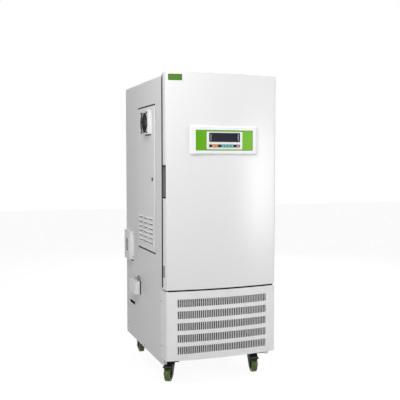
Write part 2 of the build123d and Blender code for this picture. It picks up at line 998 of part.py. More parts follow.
# Lamp covers: a folded pan with a welded fan box, six rows of louvres and pivot pins
fan_y = chord_y + fan_setback
fan_z = cover_z1 - fan_drop
fan_face = cover_face + fan_box_proud
louvre_mid_y = chord_y + louvre_front + (louvre_columns - 1) / 2 * louvre_pitch_y
louvre_low_z = cover_z0 + louvre_low_rise
louvre_mid_z = louvre_low_z + (louvre_rows - 1) / 2 * louvre_pitch_z
cover_edge = 3.0
side_names = {-1: "left", 1: "right"}
for side, side_name in side_names.items():
    with BuildPart() as lamp_cover:
        block(
            side * (cover_face - cover_fold),
            side * cover_face,
            cover_y0,
            cover_y1,
            cover_z0,
            cover_z1,
        )
        outer_face = lamp_cover.faces().filter_by(Axis.X).sort_by(Axis.X)[-1 if side > 0 else 0]
        fillet(outer_face.edges(), cover_edge)
        block(
            side * (cover_face - cover_fold - 5),
            side * (cover_face - sheet),
            cover_y0 + sheet,
            cover_y1 - sheet,
            cover_z0 + sheet,
            cover_z1 - sheet,
            mode=Mode.SUBTRACT,
        )
        with BuildSketch(side_plane(side, cover_face - sheet)):
            with Locations((side * fan_y, fan_z)):
                RectangleRounded(fan_box_length, fan_box_height, 5)
        extrude(amount=fan_box_proud + sheet)
        with BuildSketch(side_plane(side, cover_face - sheet - 1)):
            with Locations((side * fan_y, fan_z)):
                Rectangle(fan_box_length - 2 * sheet, fan_box_height - 2 * sheet)
        extrude(amount=fan_box_proud + 1, mode=Mode.SUBTRACT)
        with BuildSketch(side_plane(side, cover_face)):
            with Locations((side * fan_y, fan_z)):
                Circle(fan_bore)
            with Locations((side * lock_y, lock_z)):
                Circle(lock_radius + running_gap)
        extrude(amount=fan_box_proud + 5, mode=Mode.SUBTRACT)
        with BuildSketch(side_plane(side, cover_face - sheet - 1)):
            with Locations((side * lock_y, lock_z)):
                Circle(lock_radius + running_gap)
        extrude(amount=sheet + 5, mode=Mode.SUBTRACT)
        with BuildSketch(Plane.XZ.offset(-louvre_mid_y)):
            for row in range(louvre_rows):
                z = louvre_low_z + row * louvre_pitch_z
                with BuildLine():
                    hood_top = (side * (cover_face - 0.5), z + louvre_height)
                    hood_lip = (side * (cover_face + louvre_proud), z)
                    hood_bulge = (side * (cover_face + 0.62 * louvre_proud), z + 0.62 * louvre_height)
                    foot = (side * (cover_face - 0.5), z)
                    ThreePointArc(hood_top, hood_bulge, hood_lip)
                    Polyline(hood_lip, foot, hood_top)
                make_face()
        hood_length = louvre_pitch_y * (louvre_columns - 1) + louvre_length
        extrude(amount=hood_length / 2, both=True)
        for gap in range(louvre_columns - 1):
            gap_y = louvre_mid_y + (gap - (louvre_columns - 2) / 2) * louvre_pitch_y
            gap_half = (louvre_pitch_y - louvre_length) / 2
            block(
                side * cover_face,
                side * (cover_face + louvre_proud + 1),
                gap_y - gap_half,
                gap_y + gap_half,
                louvre_low_z - 1,
                louvre_low_z + louvre_rows * louvre_pitch_z,
                mode=Mode.SUBTRACT,
            )
        with BuildSketch(side_plane(side, cover_face - sheet - 1)):
            with Locations((side * louvre_mid_y, louvre_mid_z + louvre_height / 2 - 2)):
                with GridLocations(louvre_pitch_y, louvre_pitch_z, louvre_columns, louvre_rows):
                    Rectangle(louvre_length - 4, 5)
        extrude(amount=sheet + louvre_proud * 0.5, mode=Mode.SUBTRACT)
        with BuildSketch(side_plane(side, cover_face + 0.6)):
            with Locations((side * louvre_mid_y, louvre_mid_z)):
                with GridLocations(louvre_pitch_y, louvre_pitch_z, louvre_columns, louvre_rows):
                    Rectangle(louvre_length - 4, 5)
        extrude(amount=louvre_proud * 0.55, mode=Mode.SUBTRACT)
        for end in (-1, 1):
            edge_z = cover_z1 if end > 0 else cover_z0
            with Locations((side * cover_axis_x, cover_axis_y, edge_z)):
                Cylinder(cover_pin_radius, 2 * (seat_gap + cover_lug), mode=Mode.ADD)
    save(lamp_cover.part, "lamp_cover_" + side_name)

    # Cam lock in the front edge of the cover, drawn unlocked with its cam hanging down
    cam_x = pan_floor_x - sheet - seat_gap - 0.8
    with BuildPart() as cover_lock:
        with BuildSketch(side_plane(side, cam_x - lock_cam_thick)):
            with Locations((side * lock_y, lock_z)):
                Circle(lock_radius)
        extrude(amount=cover_face + seat_gap + lock_rim_thick - cam_x + lock_cam_thick)
        with BuildSketch(side_plane(side, cover_face + seat_gap)):
            with Locations((side * lock_y, lock_z)):
                Circle(lock_rim)
                Rectangle(2.0, 8.0, mode=Mode.SUBTRACT)
        extrude(amount=lock_rim_thick)
        with BuildSketch(side_plane(side, cam_x - lock_cam_thick)):
            with Locations((side * lock_y, lock_z - lock_cam_reach / 2 + lock_cam_width / 4)):
                SlotOverall(lock_cam_reach + lock_cam_width / 2, lock_cam_width, rotation=90)
        extrude(amount=lock_cam_thick)
    save(cover_lock.part, "cover_lock_" + side_name)


def fan_frame(plane):
    """A square axial fan body with its motor spider and pin."""
    with BuildPart() as frame:
        with BuildSketch(plane.offset(-fan_frame_depth)):
            RectangleRounded(fan_frame_size, fan_frame_size, 6)
            Circle(fan_frame_bore, mode=Mode.SUBTRACT)
            with GridLocations(fan_hole_pitch, fan_hole_pitch, 2, 2):
                Circle(fan_screw_radius, mode=Mode.SUBTRACT)
        extrude(amount=fan_frame_depth)
        with BuildSketch(plane.offset(-fan_frame_depth)):
            Circle(fan_hub_radius)
            Rectangle(2 * fan_frame_bore + 2, 6)
            Rectangle(6, 2 * fan_frame_bore + 2)
        extrude(amount=3)
        with BuildSketch(plane.offset(-fan_frame_depth)):
            Circle(2.0)
        extrude(amount=fan_frame_depth - 4)
    return frame.part


def fan_guard(plane):
    """Concentric guard rings carried in front of the fan on four bent legs."""
    with BuildPart() as guard:
        with BuildSketch(plane.offset(guard_proud - guard_wire)):
            for ring in guard_rings:
                Circle(ring)
                Circle(ring - guard_wire, mode=Mode.SUBTRACT)
        extrude(amount=guard_wire)
        with BuildSketch(plane.offset(guard_proud - 1.6 * guard_wire)):
            leg_span = fan_hole_pitch * sqrt(2)
            Rectangle(leg_span, guard_wire, rotation=45)
            Rectangle(leg_span, guard_wire, rotation=-45)
            Circle(guard_rings[0] - guard_wire - 4, mode=Mode.SUBTRACT)
        extrude(amount=guard_wire)
        with BuildSketch(plane):
            with GridLocations(fan_hole_pitch, fan_hole_pitch, 2, 2):
                Circle(3.2)
        extrude(amount=guard_proud - 0.6 * guard_wire)
    return guard.part


def fan_rotor(plane, hub_radius, tip_radius, depth, blades):
    """A hub on the motor pin with twisted blades lofted from root to tip."""
    with BuildPart() as rotor:
        with BuildSketch(plane):
            Circle(hub_radius)
            Circle(2.0 + running_gap, mode=Mode.SUBTRACT)
        extrude(amount=depth)
        middle = plane.origin + plane.z_dir * (depth / 2)
        for n in range(blades):
            angle = radians(n * 360 / blades)
            radial = plane.x_dir * cos(angle) + plane.y_dir * sin(angle)
            around = plane.z_dir.cross(radial)
            for radius, pitch in ((hub_radius - 1.5, 48), (tip_radius, 28)):
                chord_dir = around * cos(radians(pitch)) + plane.z_dir * sin(radians(pitch))
                section = Plane(origin=middle + radial * radius, x_dir=chord_dir, z_dir=radial)
                chord = 0.9 * depth / sin(radians(pitch))
                with BuildSketch(section):
                    Rectangle(chord, 1.6)
            loft()
    return rotor.part


# Exhaust fans on the lamp covers, with their guards outside the fan box
rotor_depth = 17.0
fan_tip_radius = fan_frame_bore - 3.5
for side, side_name in side_names.items():
    centre = Vector(0, fan_y, fan_z)
    inside = Plane(
        origin=centre + Vector(side * (fan_face - sheet), 0, 0),
        x_dir=(0, side, 0),
        z_dir=(side, 0, 0),
    )
    with BuildPart() as exhaust_fan:
        add(fan_frame(inside))
        add(fan_guard(inside.offset(sheet)))
    save(exhaust_fan.part, "exhaust_fan_" + side_name)
    rotor_plane = inside.offset(-fan_frame_depth + 3 + seat_gap)
    rotor = fan_rotor(rotor_plane, fan_hub_radius - 0.5, fan_tip_radius, rotor_depth, fan_blades)
    save(rotor, "exhaust_rotor_" + side_name)

# Air duct panel, circulation fan and evaporator at the back of the chamber
circulation_z = chamber_top_z - 110.0
with BuildPart() as air_duct_panel:
    block(
        -chamber_width / 2,
        chamber_width / 2,
        duct_y,
        duct_y + duct_sheet,
        chamber_z,
        chamber_top_z,
    )
    for fold_z in (chamber_z, chamber_top_z - duct_sheet):
        block(
            -chamber_width / 2,
            chamber_width / 2,
            duct_y,
            duct_y + 15,
            fold_z,
            fold_z + duct_sheet,
        )
    with BuildSketch(Plane.XZ.offset(-duct_y - 3)):
        with Locations((0, circulation_z)):
            Circle(fan_bore)
        with Locations((0, chamber_z + 160)):
            with GridLocations(60, 34, 6, 5):
                SlotOverall(44, 7)
    extrude(amount=6, mode=Mode.SUBTRACT)
save(air_duct_panel.part, "air_duct_panel")

circulation_plane = Plane(
    origin=(0, duct_y + duct_sheet, circulation_z),
    x_dir=(1, 0, 0),
    z_dir=(0, -1, 0),
)
save(fan_frame(circulation_plane), "circulation_fan")
save(
    fan_rotor(
        circulation_plane.offset(-fan_frame_depth + 3 + seat_gap),
        fan_hub_radius - 0.5,
        fan_tip_radius,
        rotor_depth,
        fan_blades,
    ),
    "circulation_rotor",
)

evaporator_y = liner_back_y - evaporator_depth
evaporator_z = chamber_z + 60.0
with BuildPart() as evaporator:
    block(
        -evaporator_width / 2,
        evaporator_width / 2,
        evaporator_y,
        liner_back_y,
        evaporator_z,
        evaporator_z + evaporator_height,
    )
    fin_pitch = evaporator_width / evaporator_fins
    for n in range(evaporator_fins):
        fin_x = -evaporator_width / 2 + (n + 0.5) * fin_pitch
        block(
            fin_x - fin_pitch * 0.35,
            fin_x + fin_pitch * 0.35,
            evaporator_y - 1,
            evaporator_y + 8,
            evaporator_z - 1,
            evaporator_z + evaporator_height + 1,
            mode=Mode.SUBTRACT,
        )
save(evaporator.part, "evaporator")

# Shelf supports: two perforated uprights on each wall, joined by the shelf rails
upright_z0 = chamber_z + 5
upright_z1 = chamber_top_z - 5
upright_rear_y = duct_y - 45.0
upright_front_y = liner_front_y + upright_front
rail_reach = upright_depth + shelf_rail_reach
shelf_zs = [chamber_z + level * (chamber_top_z - chamber_z) for level in shelf_levels]
with BuildPart() as shelf_supports:
    for side in (-1, 1):
        wall = side * chamber_width / 2
        face = side * (chamber_width / 2 - upright_depth)
        for y in (upright_front_y, upright_rear_y):
            block(wall, face, y, y + upright_width, upright_z0, upright_z1)
            with BuildSketch(side_plane(side, chamber_width / 2 - upright_depth - 1)):
                with Locations((side * (y + upright_width / 2), (upright_z0 + upright_z1) / 2)):
                    with GridLocations(1, 60, 1, 15):
                        Rectangle(6, 14)
            extrude(amount=upright_depth - 1, mode=Mode.SUBTRACT)
        for z in shelf_zs:
            rail_y0 = upright_front_y
            rail_y1 = upright_rear_y + upright_width
            block(
                side * (chamber_width / 2 - rail_reach),
                face,
                rail_y0,
                rail_y1,
                z - shelf_rail_sheet,
                z,
            )
            block(
                side * (chamber_width / 2 - upright_depth - shelf_rail_sheet),
                face,
                rail_y0,
                rail_y1,
                z - shelf_rail_sheet,
                z + 14,
            )
save(shelf_supports.part, "shelf_supports")

# Wire shelves, each lying on a pair of rails
shelf_half = chamber_width / 2 - upright_depth - shelf_rail_sheet - 1.0
shelf_y0 = liner_front_y + shelf_front
shelf_y1 = duct_y - shelf_back
shelf_depth = shelf_y1 - shelf_y0
for n, shelf_z in enumerate(shelf_zs):
    bottom = shelf_z + seat_gap
    with BuildPart() as shelf:
        with BuildSketch(Plane.XY.offset(bottom)):
            with Locations((0, (shelf_y0 + shelf_y1) / 2)):
                RectangleRounded(2 * shelf_half, shelf_depth, 12)
                RectangleRounded(
                    2 * shelf_half - 2 * shelf_bar,
                    shelf_depth - 2 * shelf_bar,
                    8,
                    mode=Mode.SUBTRACT,
                )
        extrude(amount=shelf_bar)
        with BuildSketch(Plane.XY.offset(bottom + shelf_bar - shelf_wire)):
            with Locations((0, (shelf_y0 + shelf_y1) / 2)):
                with GridLocations(2 * shelf_half / (shelf_wires + 1), 1, shelf_wires, 1):
                    Rectangle(shelf_wire, shelf_depth - shelf_bar)
                Rectangle(2 * shelf_half - shelf_bar, shelf_bar)
        extrude(amount=shelf_wire)
    save(shelf.part, "shelf_" + str(n + 1))

# Compressor: a welded can on a footed plate, standing on the deck
compressor_x = compressor_offset
compressor_y = back_y - compressor_back
deck_z = panel_z + deck_sheet
with BuildPart() as compressor:
    with BuildSketch(Plane.XZ.offset(-compressor_y)):
        with Locations((compressor_x, deck_z + 14)):
            Rectangle(compressor_radius, compressor_height, align=(Align.MIN, Align.MIN))
    revolve(axis=Axis((compressor_x, compressor_y, 0), (0, 0, 1)))
    rims = compressor.edges().filter_by(GeomType.CIRCLE).group_by(Axis.Z)
    fillet(rims[-1], 38.0)
    fillet(compressor.edges().filter_by(GeomType.CIRCLE).group_by(Axis.Z)[0], 16.0)
    with BuildSketch(Plane.XY.offset(deck_z + 10)):
        with Locations((compressor_x, compressor_y)):
            RectangleRounded(compressor_foot_length, compressor_foot_width, 12)
    extrude(amount=6)
    with BuildSketch(Plane.XY.offset(deck_z)):
        with Locations((compressor_x, compressor_y)):
            with GridLocations(compressor_foot_length - 30, compressor_foot_width - 30, 2, 2):
                Circle(10)
    extrude(amount=10)
    with BuildSketch(Plane.YZ.offset(compressor_x - compressor_radius - 14)):
        with Locations((compressor_y, deck_z + 95)):
            RectangleRounded(60, 70, 6)
    extrude(amount=40)
save(compressor.part, "compressor")

# Condenser: a finned coil behind the grille, with a shroud and a motor bracket for its fan
condenser_y = chord_y + condenser_setback
condenser_z = deck_z
condenser_mid_z = condenser_z + condenser_height / 2
shroud_depth = 30.0
motor_y = condenser_y + condenser_depth + shroud_depth
with BuildPart() as condenser:
    block(
        -condenser_width / 2,
        condenser_width / 2,
        condenser_y,
        condenser_y + condenser_depth + shroud_depth,
        condenser_z,
        condenser_z + condenser_height,
    )
    block(
        -condenser_width / 2 + 3,
        condenser_width / 2 - 3,
        condenser_y + condenser_depth,
        motor_y - 3,
        condenser_z + 3,
        condenser_z + condenser_height - 3,
        mode=Mode.SUBTRACT,
    )
    with BuildSketch(Plane.XZ.offset(-motor_y - 1)):
        with Locations((0, condenser_mid_z)):
            Circle(condenser_fan_radius + 6)
    extrude(amount=6, mode=Mode.SUBTRACT)
    fin_pitch = condenser_width / condenser_fins
    for n in range(condenser_fins):
        fin_x = -condenser_width / 2 + (n + 0.5) * fin_pitch
        block(
            fin_x - fin_pitch * 0.38,
            fin_x + fin_pitch * 0.38,
            condenser_y - 1,
            condenser_y + 12,
            condenser_z + 10,
            condenser_z + condenser_height - 10,
            mode=Mode.SUBTRACT,
        )
with BuildPart() as condenser_motor:
    block(
        -condenser_fan_radius - 20,
        condenser_fan_radius + 20,
        motor_y,
        motor_y + 4,
        condenser_mid_z - 12,
        condenser_mid_z + 12,
    )
    with BuildSketch(Plane.XZ.offset(-motor_y - 55)):
        with Locations((0, condenser_mid_z)):
            Circle(34)
    extrude(amount=55)
    with BuildSketch(Plane.XZ.offset(-motor_y)):
        with Locations((0, condenser_mid_z)):
            Circle(2.0)
    extrude(amount=20)
save(Compound(children=condenser.solids() + condenser_motor.solids()), "condenser")
condenser_rotor_plane = Plane(
    origin=(0, motor_y - seat_gap, condenser_mid_z),
    x_dir=(1, 0, 0),
    z_dir=(0, -1, 0),
)
save(
    fan_rotor(condenser_rotor_plane, condenser_hub_radius, condenser_fan_radius, 18.0, 5),
    "condenser_rotor",
)

# Breaker box on the left wall, with its breaker behind the slot, and the breaker's toggle
breaker_y1 = back_y - breaker_back
breaker_y0 = breaker_y1 - breaker_length
breaker_z1 = breaker_z + breaker_height
breaker_mid_y = (breaker_y0 + breaker_y1) / 2
breaker_mid_z = (breaker_z + breaker_z1) / 2
breaker_face = shell_side + breaker_depth
toggle_x = breaker_face - toggle_recess
with BuildPart() as breaker_box:
    with BuildSketch(side_plane(-1, shell_side)):
        with Locations((-breaker_mid_y, breaker_mid_z)):
            RectangleRounded(breaker_length, breaker_height, 6)
    extrude(amount=breaker_depth)
    fillet(breaker_box.faces().sort_by(Axis.X)[0].edges(), 2.0)
    with BuildSketch(side_plane(-1, shell_side)):
        with Locations((-breaker_mid_y, breaker_mid_z)):
            RectangleRounded(breaker_length + 2 * breaker_flange, breaker_height, 6)
    extrude(amount=breaker_wall)
    with BuildSketch(side_plane(-1, shell_side)):
        with Locations((-breaker_mid_y, breaker_mid_z)):
            RectangleRounded(
                breaker_length - 2 * breaker_wall,
                breaker_height - 2 * breaker_wall,
                4,
            )
    extrude(amount=breaker_depth - breaker_wall, mode=Mode.SUBTRACT)
    with BuildSketch(side_plane(-1, shell_side)):
        with Locations((-breaker_mid_y, breaker_mid_z)):
            Rectangle(breaker_slot_width, breaker_slot_height)
    extrude(amount=breaker_depth + 1, mode=Mode.SUBTRACT)
    block(
        -shell_side,
        -(toggle_x - toggle_radius - seat_gap),
        breaker_mid_y - 30,
        breaker_mid_y + 30,
        breaker_mid_z - 45,
        breaker_mid_z + 45,
    )
    for end in (-1, 1):
        cheek_y = breaker_mid_y + end * (toggle_half + seat_gap)
        block(
            -shell_side,
            -(toggle_x + 3),
            cheek_y,
            cheek_y + end * cheek_width,
            breaker_mid_z - 8,
            breaker_mid_z + 8,
        )
    with BuildSketch(Plane.XZ.offset(-breaker_mid_y)):
        with Locations((-toggle_x, breaker_mid_z)):
            Circle(toggle_pin_radius + running_gap)
    extrude(amount=toggle_half + seat_gap + cheek_width + 1, both=True, mode=Mode.SUBTRACT)
save(breaker_box.part, "breaker_box")

toggle_tilt = 30
with BuildPart() as breaker_toggle:
    with BuildSketch(Plane.XZ.offset(-breaker_mid_y)):
        with Locations((-toggle_x, breaker_mid_z)):
            Circle(toggle_radius)
            with Locations(Location((0, 0, 0), (0, 0, -toggle_tilt))):
                with Locations((-toggle_reach / 2, 0)):
                    Rectangle(toggle_reach, 4)
    extrude(amount=toggle_half, both=True)
    with BuildSketch(Plane.XZ.offset(-breaker_mid_y)):
        with Locations((-toggle_x, breaker_mid_z)):
            Circle(toggle_pin_radius)
    extrude(amount=toggle_half + seat_gap + cheek_width, both=True)
save(breaker_toggle.part, "breaker_toggle")

# Mains inlet on the left wall: a black base with the inlet socket and a cable gland
inlet_y1 = back_y - inlet_back
inlet_y0 = inlet_y1 - inlet_length
inlet_z1 = inlet_z + inlet_height
inlet_mid_y = (inlet_y0 + inlet_y1) / 2
inlet_mid_z = (inlet_z + inlet_z1) / 2
inlet_base_x = shell_side + inlet_base
knuckle_y = inlet_y1 + inlet_knuckle + seat_gap
knuckle_x = inlet_base_x + inlet_knuckle + 0.6
gland_x = shell_side + gland_radius + 2
gland_y = inlet_y0 + 20
with BuildPart() as mains_inlet:
    with BuildSketch(side_plane(-1, shell_side)):
        with Locations((-inlet_mid_y, inlet_mid_z)):
            RectangleRounded(inlet_length, inlet_height, 4)
    extrude(amount=inlet_base)
    with BuildSketch(side_plane(-1, inlet_base_x)):
        with Locations((-inlet_mid_y, inlet_mid_z)):
            RectangleRounded(50, 38, 5)
            RectangleRounded(34, 24, 3, mode=Mode.SUBTRACT)
    extrude(amount=12)
    with BuildSketch(side_plane(-1, inlet_base_x)):
        with Locations((-inlet_mid_y, inlet_mid_z)):
            with Locations((-8, -3), (8, -3), (0, 5)):
                Rectangle(2, 6)
    extrude(amount=9)
    with BuildSketch(Plane.XY.offset(inlet_z1 + seat_gap)):
        with Locations((-gland_x, gland_y)):
            Circle(gland_radius)
    extrude(amount=gland_height)
    chamfer(mains_inlet.faces().sort_by(Axis.Z)[-1].edges(), 2.0)
    block(
        -shell_side,
        -shell_side - inlet_base,
        gland_y - gland_radius,
        gland_y + gland_radius,
        inlet_z1 - 2,
        inlet_z1 + 10,
    )
    for end in (-1, 1):
        ear_z = inlet_mid_z + end * (inlet_knuckle_length / 2 + seat_gap)
        block(
            -shell_side,
            -inlet_base_x,
            inlet_y1 - 3,
            knuckle_y + inlet_knuckle,
            ear_z,
            ear_z + end * inlet_ear,
        )
        block(
            -shell_side,
            -knuckle_x,
            inlet_y1 + seat_gap,
            knuckle_y + inlet_knuckle,
            ear_z,
            ear_z + end * inlet_ear,
        )
        with BuildSketch(Plane.XY.offset(ear_z)):
            with Locations((-knuckle_x, knuckle_y)):
                Circle(inlet_knuckle)
        extrude(amount=end * inlet_ear)
    with BuildSketch(Plane.XY.offset(inlet_mid_z)):
        with Locations((-knuckle_x, knuckle_y)):
            Circle(inlet_pin_radius)
    extrude(amount=inlet_knuckle_length / 2 + seat_gap + inlet_ear, both=True)
save(mains_inlet.part, "mains_inlet")

# Inlet cover: a white lid over the inlet, hinged along its rear edge
lid_x0 = inlet_base_x + seat_gap
lid_x1 = lid_x0 + inlet_cover_depth
with BuildPart() as inlet_cover:
    with BuildSketch(side_plane(-1, lid_x0)):
        with Locations((-inlet_mid_y, inlet_mid_z)):
            RectangleRounded(inlet_length, inlet_height, 5)
    extrude(amount=inlet_cover_depth)
    fillet(inlet_cover.faces().sort_by(Axis.X)[0].edges(), 3.0)
    with BuildSketch(side_plane(-1, lid_x0 - 1)):
        with Locations((-inlet_mid_y, inlet_mid_z)):
            RectangleRounded(
                inlet_length - 2 * inlet_cover_wall,
                inlet_height - 2 * inlet_cover_wall,
                3,
            )
    extrude(amount=inlet_cover_depth + 1 - inlet_cover_wall, mode=Mode.SUBTRACT)
    with BuildSketch(Plane.XY.offset(inlet_mid_z - inlet_knuckle_length / 2)):
        with Locations((-knuckle_x, knuckle_y)):
            Circle(inlet_knuckle)
        with Locations((-knuckle_x, knuckle_y - inlet_knuckle)):
            Rectangle(3, 2 * inlet_knuckle)
    extrude(amount=inlet_knuckle_length)
    with BuildSketch(Plane.XY.offset(inlet_mid_z - inlet_knuckle_length)):
        with Locations((-knuckle_x, knuckle_y)):
            Circle(inlet_pin_radius + running_gap)
    extrude(amount=2 * inlet_knuckle_length, mode=Mode.SUBTRACT)
save(inlet_cover.part, "inlet_cover")

# Castor plates: a plate bolted under the base at each corner, with the upper ball race
castor_x = half_width - castor_inset_x
front_castor_y = chord_y + castor_front
rear_castor_y = back_y - castor_rear
plate_z = castor_height - castor_plate_thick
race_z = plate_z - raceway_height
castor_spots = (
    ("front_left", -castor_x, front_castor_y, front_left_heading),
    ("front_right", castor_x, front_castor_y, front_right_heading),
    ("rear_left", -castor_x, rear_castor_y, rear_left_heading),
    ("rear_right", castor_x, rear_castor_y, rear_right_heading),
)
with BuildPart() as castor_plates:
    for name, x, y, heading in castor_spots:
        with BuildSketch(Plane.XY.offset(plate_z)):
            with Locations((x, y)):
                RectangleRounded(castor_plate, castor_plate, 6)
        extrude(amount=castor_plate_thick)
        with BuildSketch(Plane.XY.offset(race_z)):
            with Locations((x, y)):
                Circle(raceway_radius)
        extrude(amount=raceway_height)
        with BuildSketch(Plane.XY.offset(race_z - crown_thick - seat_gap)):
            with Locations((x, y)):
                Circle(6.0)
        extrude(amount=raceway_height)
save(castor_plates.part, "castor_plates")

# Castors: a pressed fork with its axle, a wheel, and a brake pedal on the front pair
crown_top = race_z - seat_gap
crown_z = crown_top - crown_thick
fork_outer = fork_inner + fork_sheet
pedal_pin_x = 10.0
pedal_pin_z = crown_z - 3.6
up = Vector(0, 0, 1)
for name, x, y, heading in castor_spots:
    ahead = Vector(-sin(radians(heading)), -cos(radians(heading)), 0)
    spot = Vector(x, y, 0)
    profile = Plane(origin=spot, x_dir=ahead, z_dir=ahead.cross(up))
    plan = Plane(origin=spot, x_dir=ahead, z_dir=up)
    braked = name.startswith("front")
    with BuildPart() as fork:
        with BuildSketch(profile):
            with BuildLine():
                FilletPolyline(
                    (-26, crown_top),
                    (-26, crown_z - 4),
                    (castor_trail - 15, wheel_radius - 3),
                    (castor_trail - 8, wheel_radius - 14),
                    (castor_trail + 8, wheel_radius - 14),
                    (castor_trail + 15, wheel_radius - 3),
                    (31, crown_z - 8),
                    (31, crown_top),
                    close=True,
                    radius=2.0,
                )
            make_face()
        extrude(amount=fork_outer, both=True)
        with BuildSketch(plan.offset(-1)):
            with Locations((10, 0)):
                Rectangle(120, 2 * fork_inner)
        extrude(amount=crown_z + 1, mode=Mode.SUBTRACT)
        with BuildSketch(plan.offset(crown_z)):
            Circle(raceway_radius + 1)
        extrude(amount=crown_thick)
        with BuildSketch(plan.offset(crown_z - 1)):
            Circle(6.0 + running_gap)
        extrude(amount=crown_thick + 2, mode=Mode.SUBTRACT)
        with BuildSketch(profile):
            with Locations((castor_trail, wheel_radius)):
                Circle(axle_radius)
        extrude(amount=fork_outer + 2, both=True)
        if braked:
            with BuildSketch(profile):
                with Locations((pedal_pin_x, pedal_pin_z)):
                    Circle(pedal_pin_radius + running_gap)
            extrude(amount=fork_outer + 1, both=True, mode=Mode.SUBTRACT)
    save(fork.part, "castor_fork_" + name)

    axle_point = spot + ahead * castor_trail + up * wheel_radius
    axle_line = Axis(axle_point, profile.z_dir)
    wheel_section = Plane(origin=axle_point, x_dir=profile.z_dir, z_dir=ahead)
    with BuildPart() as wheel:
        with BuildSketch(wheel_section):
            with BuildLine():
                half = wheel_width / 2
                bore = axle_radius + running_gap
                hub_half = fork_inner - seat_gap
                ThreePointArc((-half + 3, wheel_radius - 2), (0, wheel_radius), (half - 3, wheel_radius - 2))
                Polyline(
                    (half - 3, wheel_radius - 2),
                    (half, wheel_radius - 8),
                    (half - 3, wheel_hub_radius + 8),
                    (half - 3, wheel_hub_radius),
                    (hub_half, wheel_hub_radius - 3),
                    (hub_half, bore),
                    (-hub_half, bore),
                    (-hub_half, wheel_hub_radius - 3),
                    (-half + 3, wheel_hub_radius),
                    (-half + 3, wheel_hub_radius + 8),
                    (-half, wheel_radius - 8),
                    (-half + 3, wheel_radius - 2),
                )
            make_face()
        revolve(axis=axle_line)
    save(wheel.part, "castor_wheel_" + name)

    if braked:
        with BuildPart() as pedal:
            with BuildSketch(profile):
                with BuildLine():
                    FilletPolyline(
                        (pedal_pin_x - 4, crown_z - 0.9),
                        (pedal_pin_x - 4, pedal_pin_z - 3),
                        (pedal_pin_x + 5, pedal_pin_z - 4),
                        (34, pedal_pin_z - 4),
                        (pedal_reach, pedal_pin_z - 8),
                        (pedal_reach + 1, pedal_pin_z - 4),
                        (36, crown_z - 0.9),
                        close=True,
                        radius=1.0,
                    )
                make_face()
            extrude(amount=pedal_width / 2, both=True)
            for edge in (-1, 1):
                with BuildSketch(plan.offset(crown_z - 20)):
                    with Locations((-10, edge * (fork_inner - 0.8 + 20))):
                        Rectangle(2 * 44.5, 40)
                extrude(amount=30, mode=Mode.SUBTRACT)
            with BuildSketch(profile):
                with Locations((pedal_pin_x, pedal_pin_z)):
                    Circle(pedal_pin_radius)
            extrude(amount=fork_outer, both=True)
        save(pedal.part, "brake_pedal_" + name)
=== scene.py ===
# %% [markdown]
# A plant growth chamber is a refrigerated cabinet with lamps behind glass in its side walls.
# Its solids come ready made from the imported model, so this lesson is about the looks:
# powder coated steel, stainless steel, moulded plastic, a lit display and polyurethane wheels,
# with the small pieces such as screws, guards and nuts that make the cabinet believable.

from fnmatch import filter as matching
from math import asin, cos, pi, radians, sin, sqrt

import bmesh
import bpy
from mathutils import Matrix, Vector


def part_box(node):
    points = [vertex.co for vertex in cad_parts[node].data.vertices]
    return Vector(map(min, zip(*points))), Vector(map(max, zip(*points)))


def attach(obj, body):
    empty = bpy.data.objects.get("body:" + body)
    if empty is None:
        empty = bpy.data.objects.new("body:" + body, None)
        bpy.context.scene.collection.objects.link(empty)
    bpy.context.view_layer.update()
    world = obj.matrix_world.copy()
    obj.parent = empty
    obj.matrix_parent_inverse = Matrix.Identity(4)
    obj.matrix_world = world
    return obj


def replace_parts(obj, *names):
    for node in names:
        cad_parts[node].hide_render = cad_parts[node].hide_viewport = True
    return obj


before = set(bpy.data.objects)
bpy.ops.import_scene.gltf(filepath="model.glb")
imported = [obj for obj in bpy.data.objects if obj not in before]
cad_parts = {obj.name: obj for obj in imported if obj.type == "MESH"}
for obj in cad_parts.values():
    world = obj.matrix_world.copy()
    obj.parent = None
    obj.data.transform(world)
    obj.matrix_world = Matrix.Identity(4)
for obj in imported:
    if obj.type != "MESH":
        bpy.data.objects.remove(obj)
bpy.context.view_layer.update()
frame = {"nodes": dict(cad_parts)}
nodes = frame["nodes"]

# %% [markdown]
# The cabinet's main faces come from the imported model, so what is added here sits on them.
# The door and the lower panel share one bowed front, 24 mm deep over the panel's width, and
# the arc through those two sizes gives the radius that every bowed piece uses.

# %% Main faces
def node_box(name):
    """The low and high corner of a CAD node, rounded to a tenth of a millimetre."""
    return [[round(value, 4) for value in corner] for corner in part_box(name)]


wall_x, back_y, roof_z = node_box("outer_shell")[1]
door_low, door_high = node_box("door_skin")
panel_low, panel_high = node_box("grille_panel")
panel_half, panel_bottom, panel_top = panel_high[0], panel_low[2], panel_high[2]
front_y = door_low[1]
bow_depth = 0.024
chord_y = front_y + bow_depth
bow_radius = (panel_half**2 + bow_depth**2) / (2 * bow_depth)
bow_centre_y = front_y + bow_radius

# %% [markdown]
# The camera comes from matching the cabinet's long edges in the photograph.
# It stands left of the cabinet at chest height and looks slightly down,
# which is why the left side wall shows as a narrow strip beside the door.

# %% Camera
sensor_width = 36.0
photo_width_px = 400
focal_length_px = 671.68
camera_place = (-1.2713, -3.5351, 1.1435)
camera_dip = 0.0592
camera_turn = -0.3508

lens_data = bpy.data.cameras.new("photo_camera")
lens_data.sensor_width = sensor_width
lens_data.lens = focal_length_px / photo_width_px * sensor_width
lens_data.clip_end = 50
camera = bpy.data.objects.new("photo_camera", lens_data)
camera.location = camera_place
camera.rotation_euler = (pi / 2 - camera_dip, 0, camera_turn)
bpy.context.scene.collection.objects.link(camera)
bpy.context.scene.camera = camera

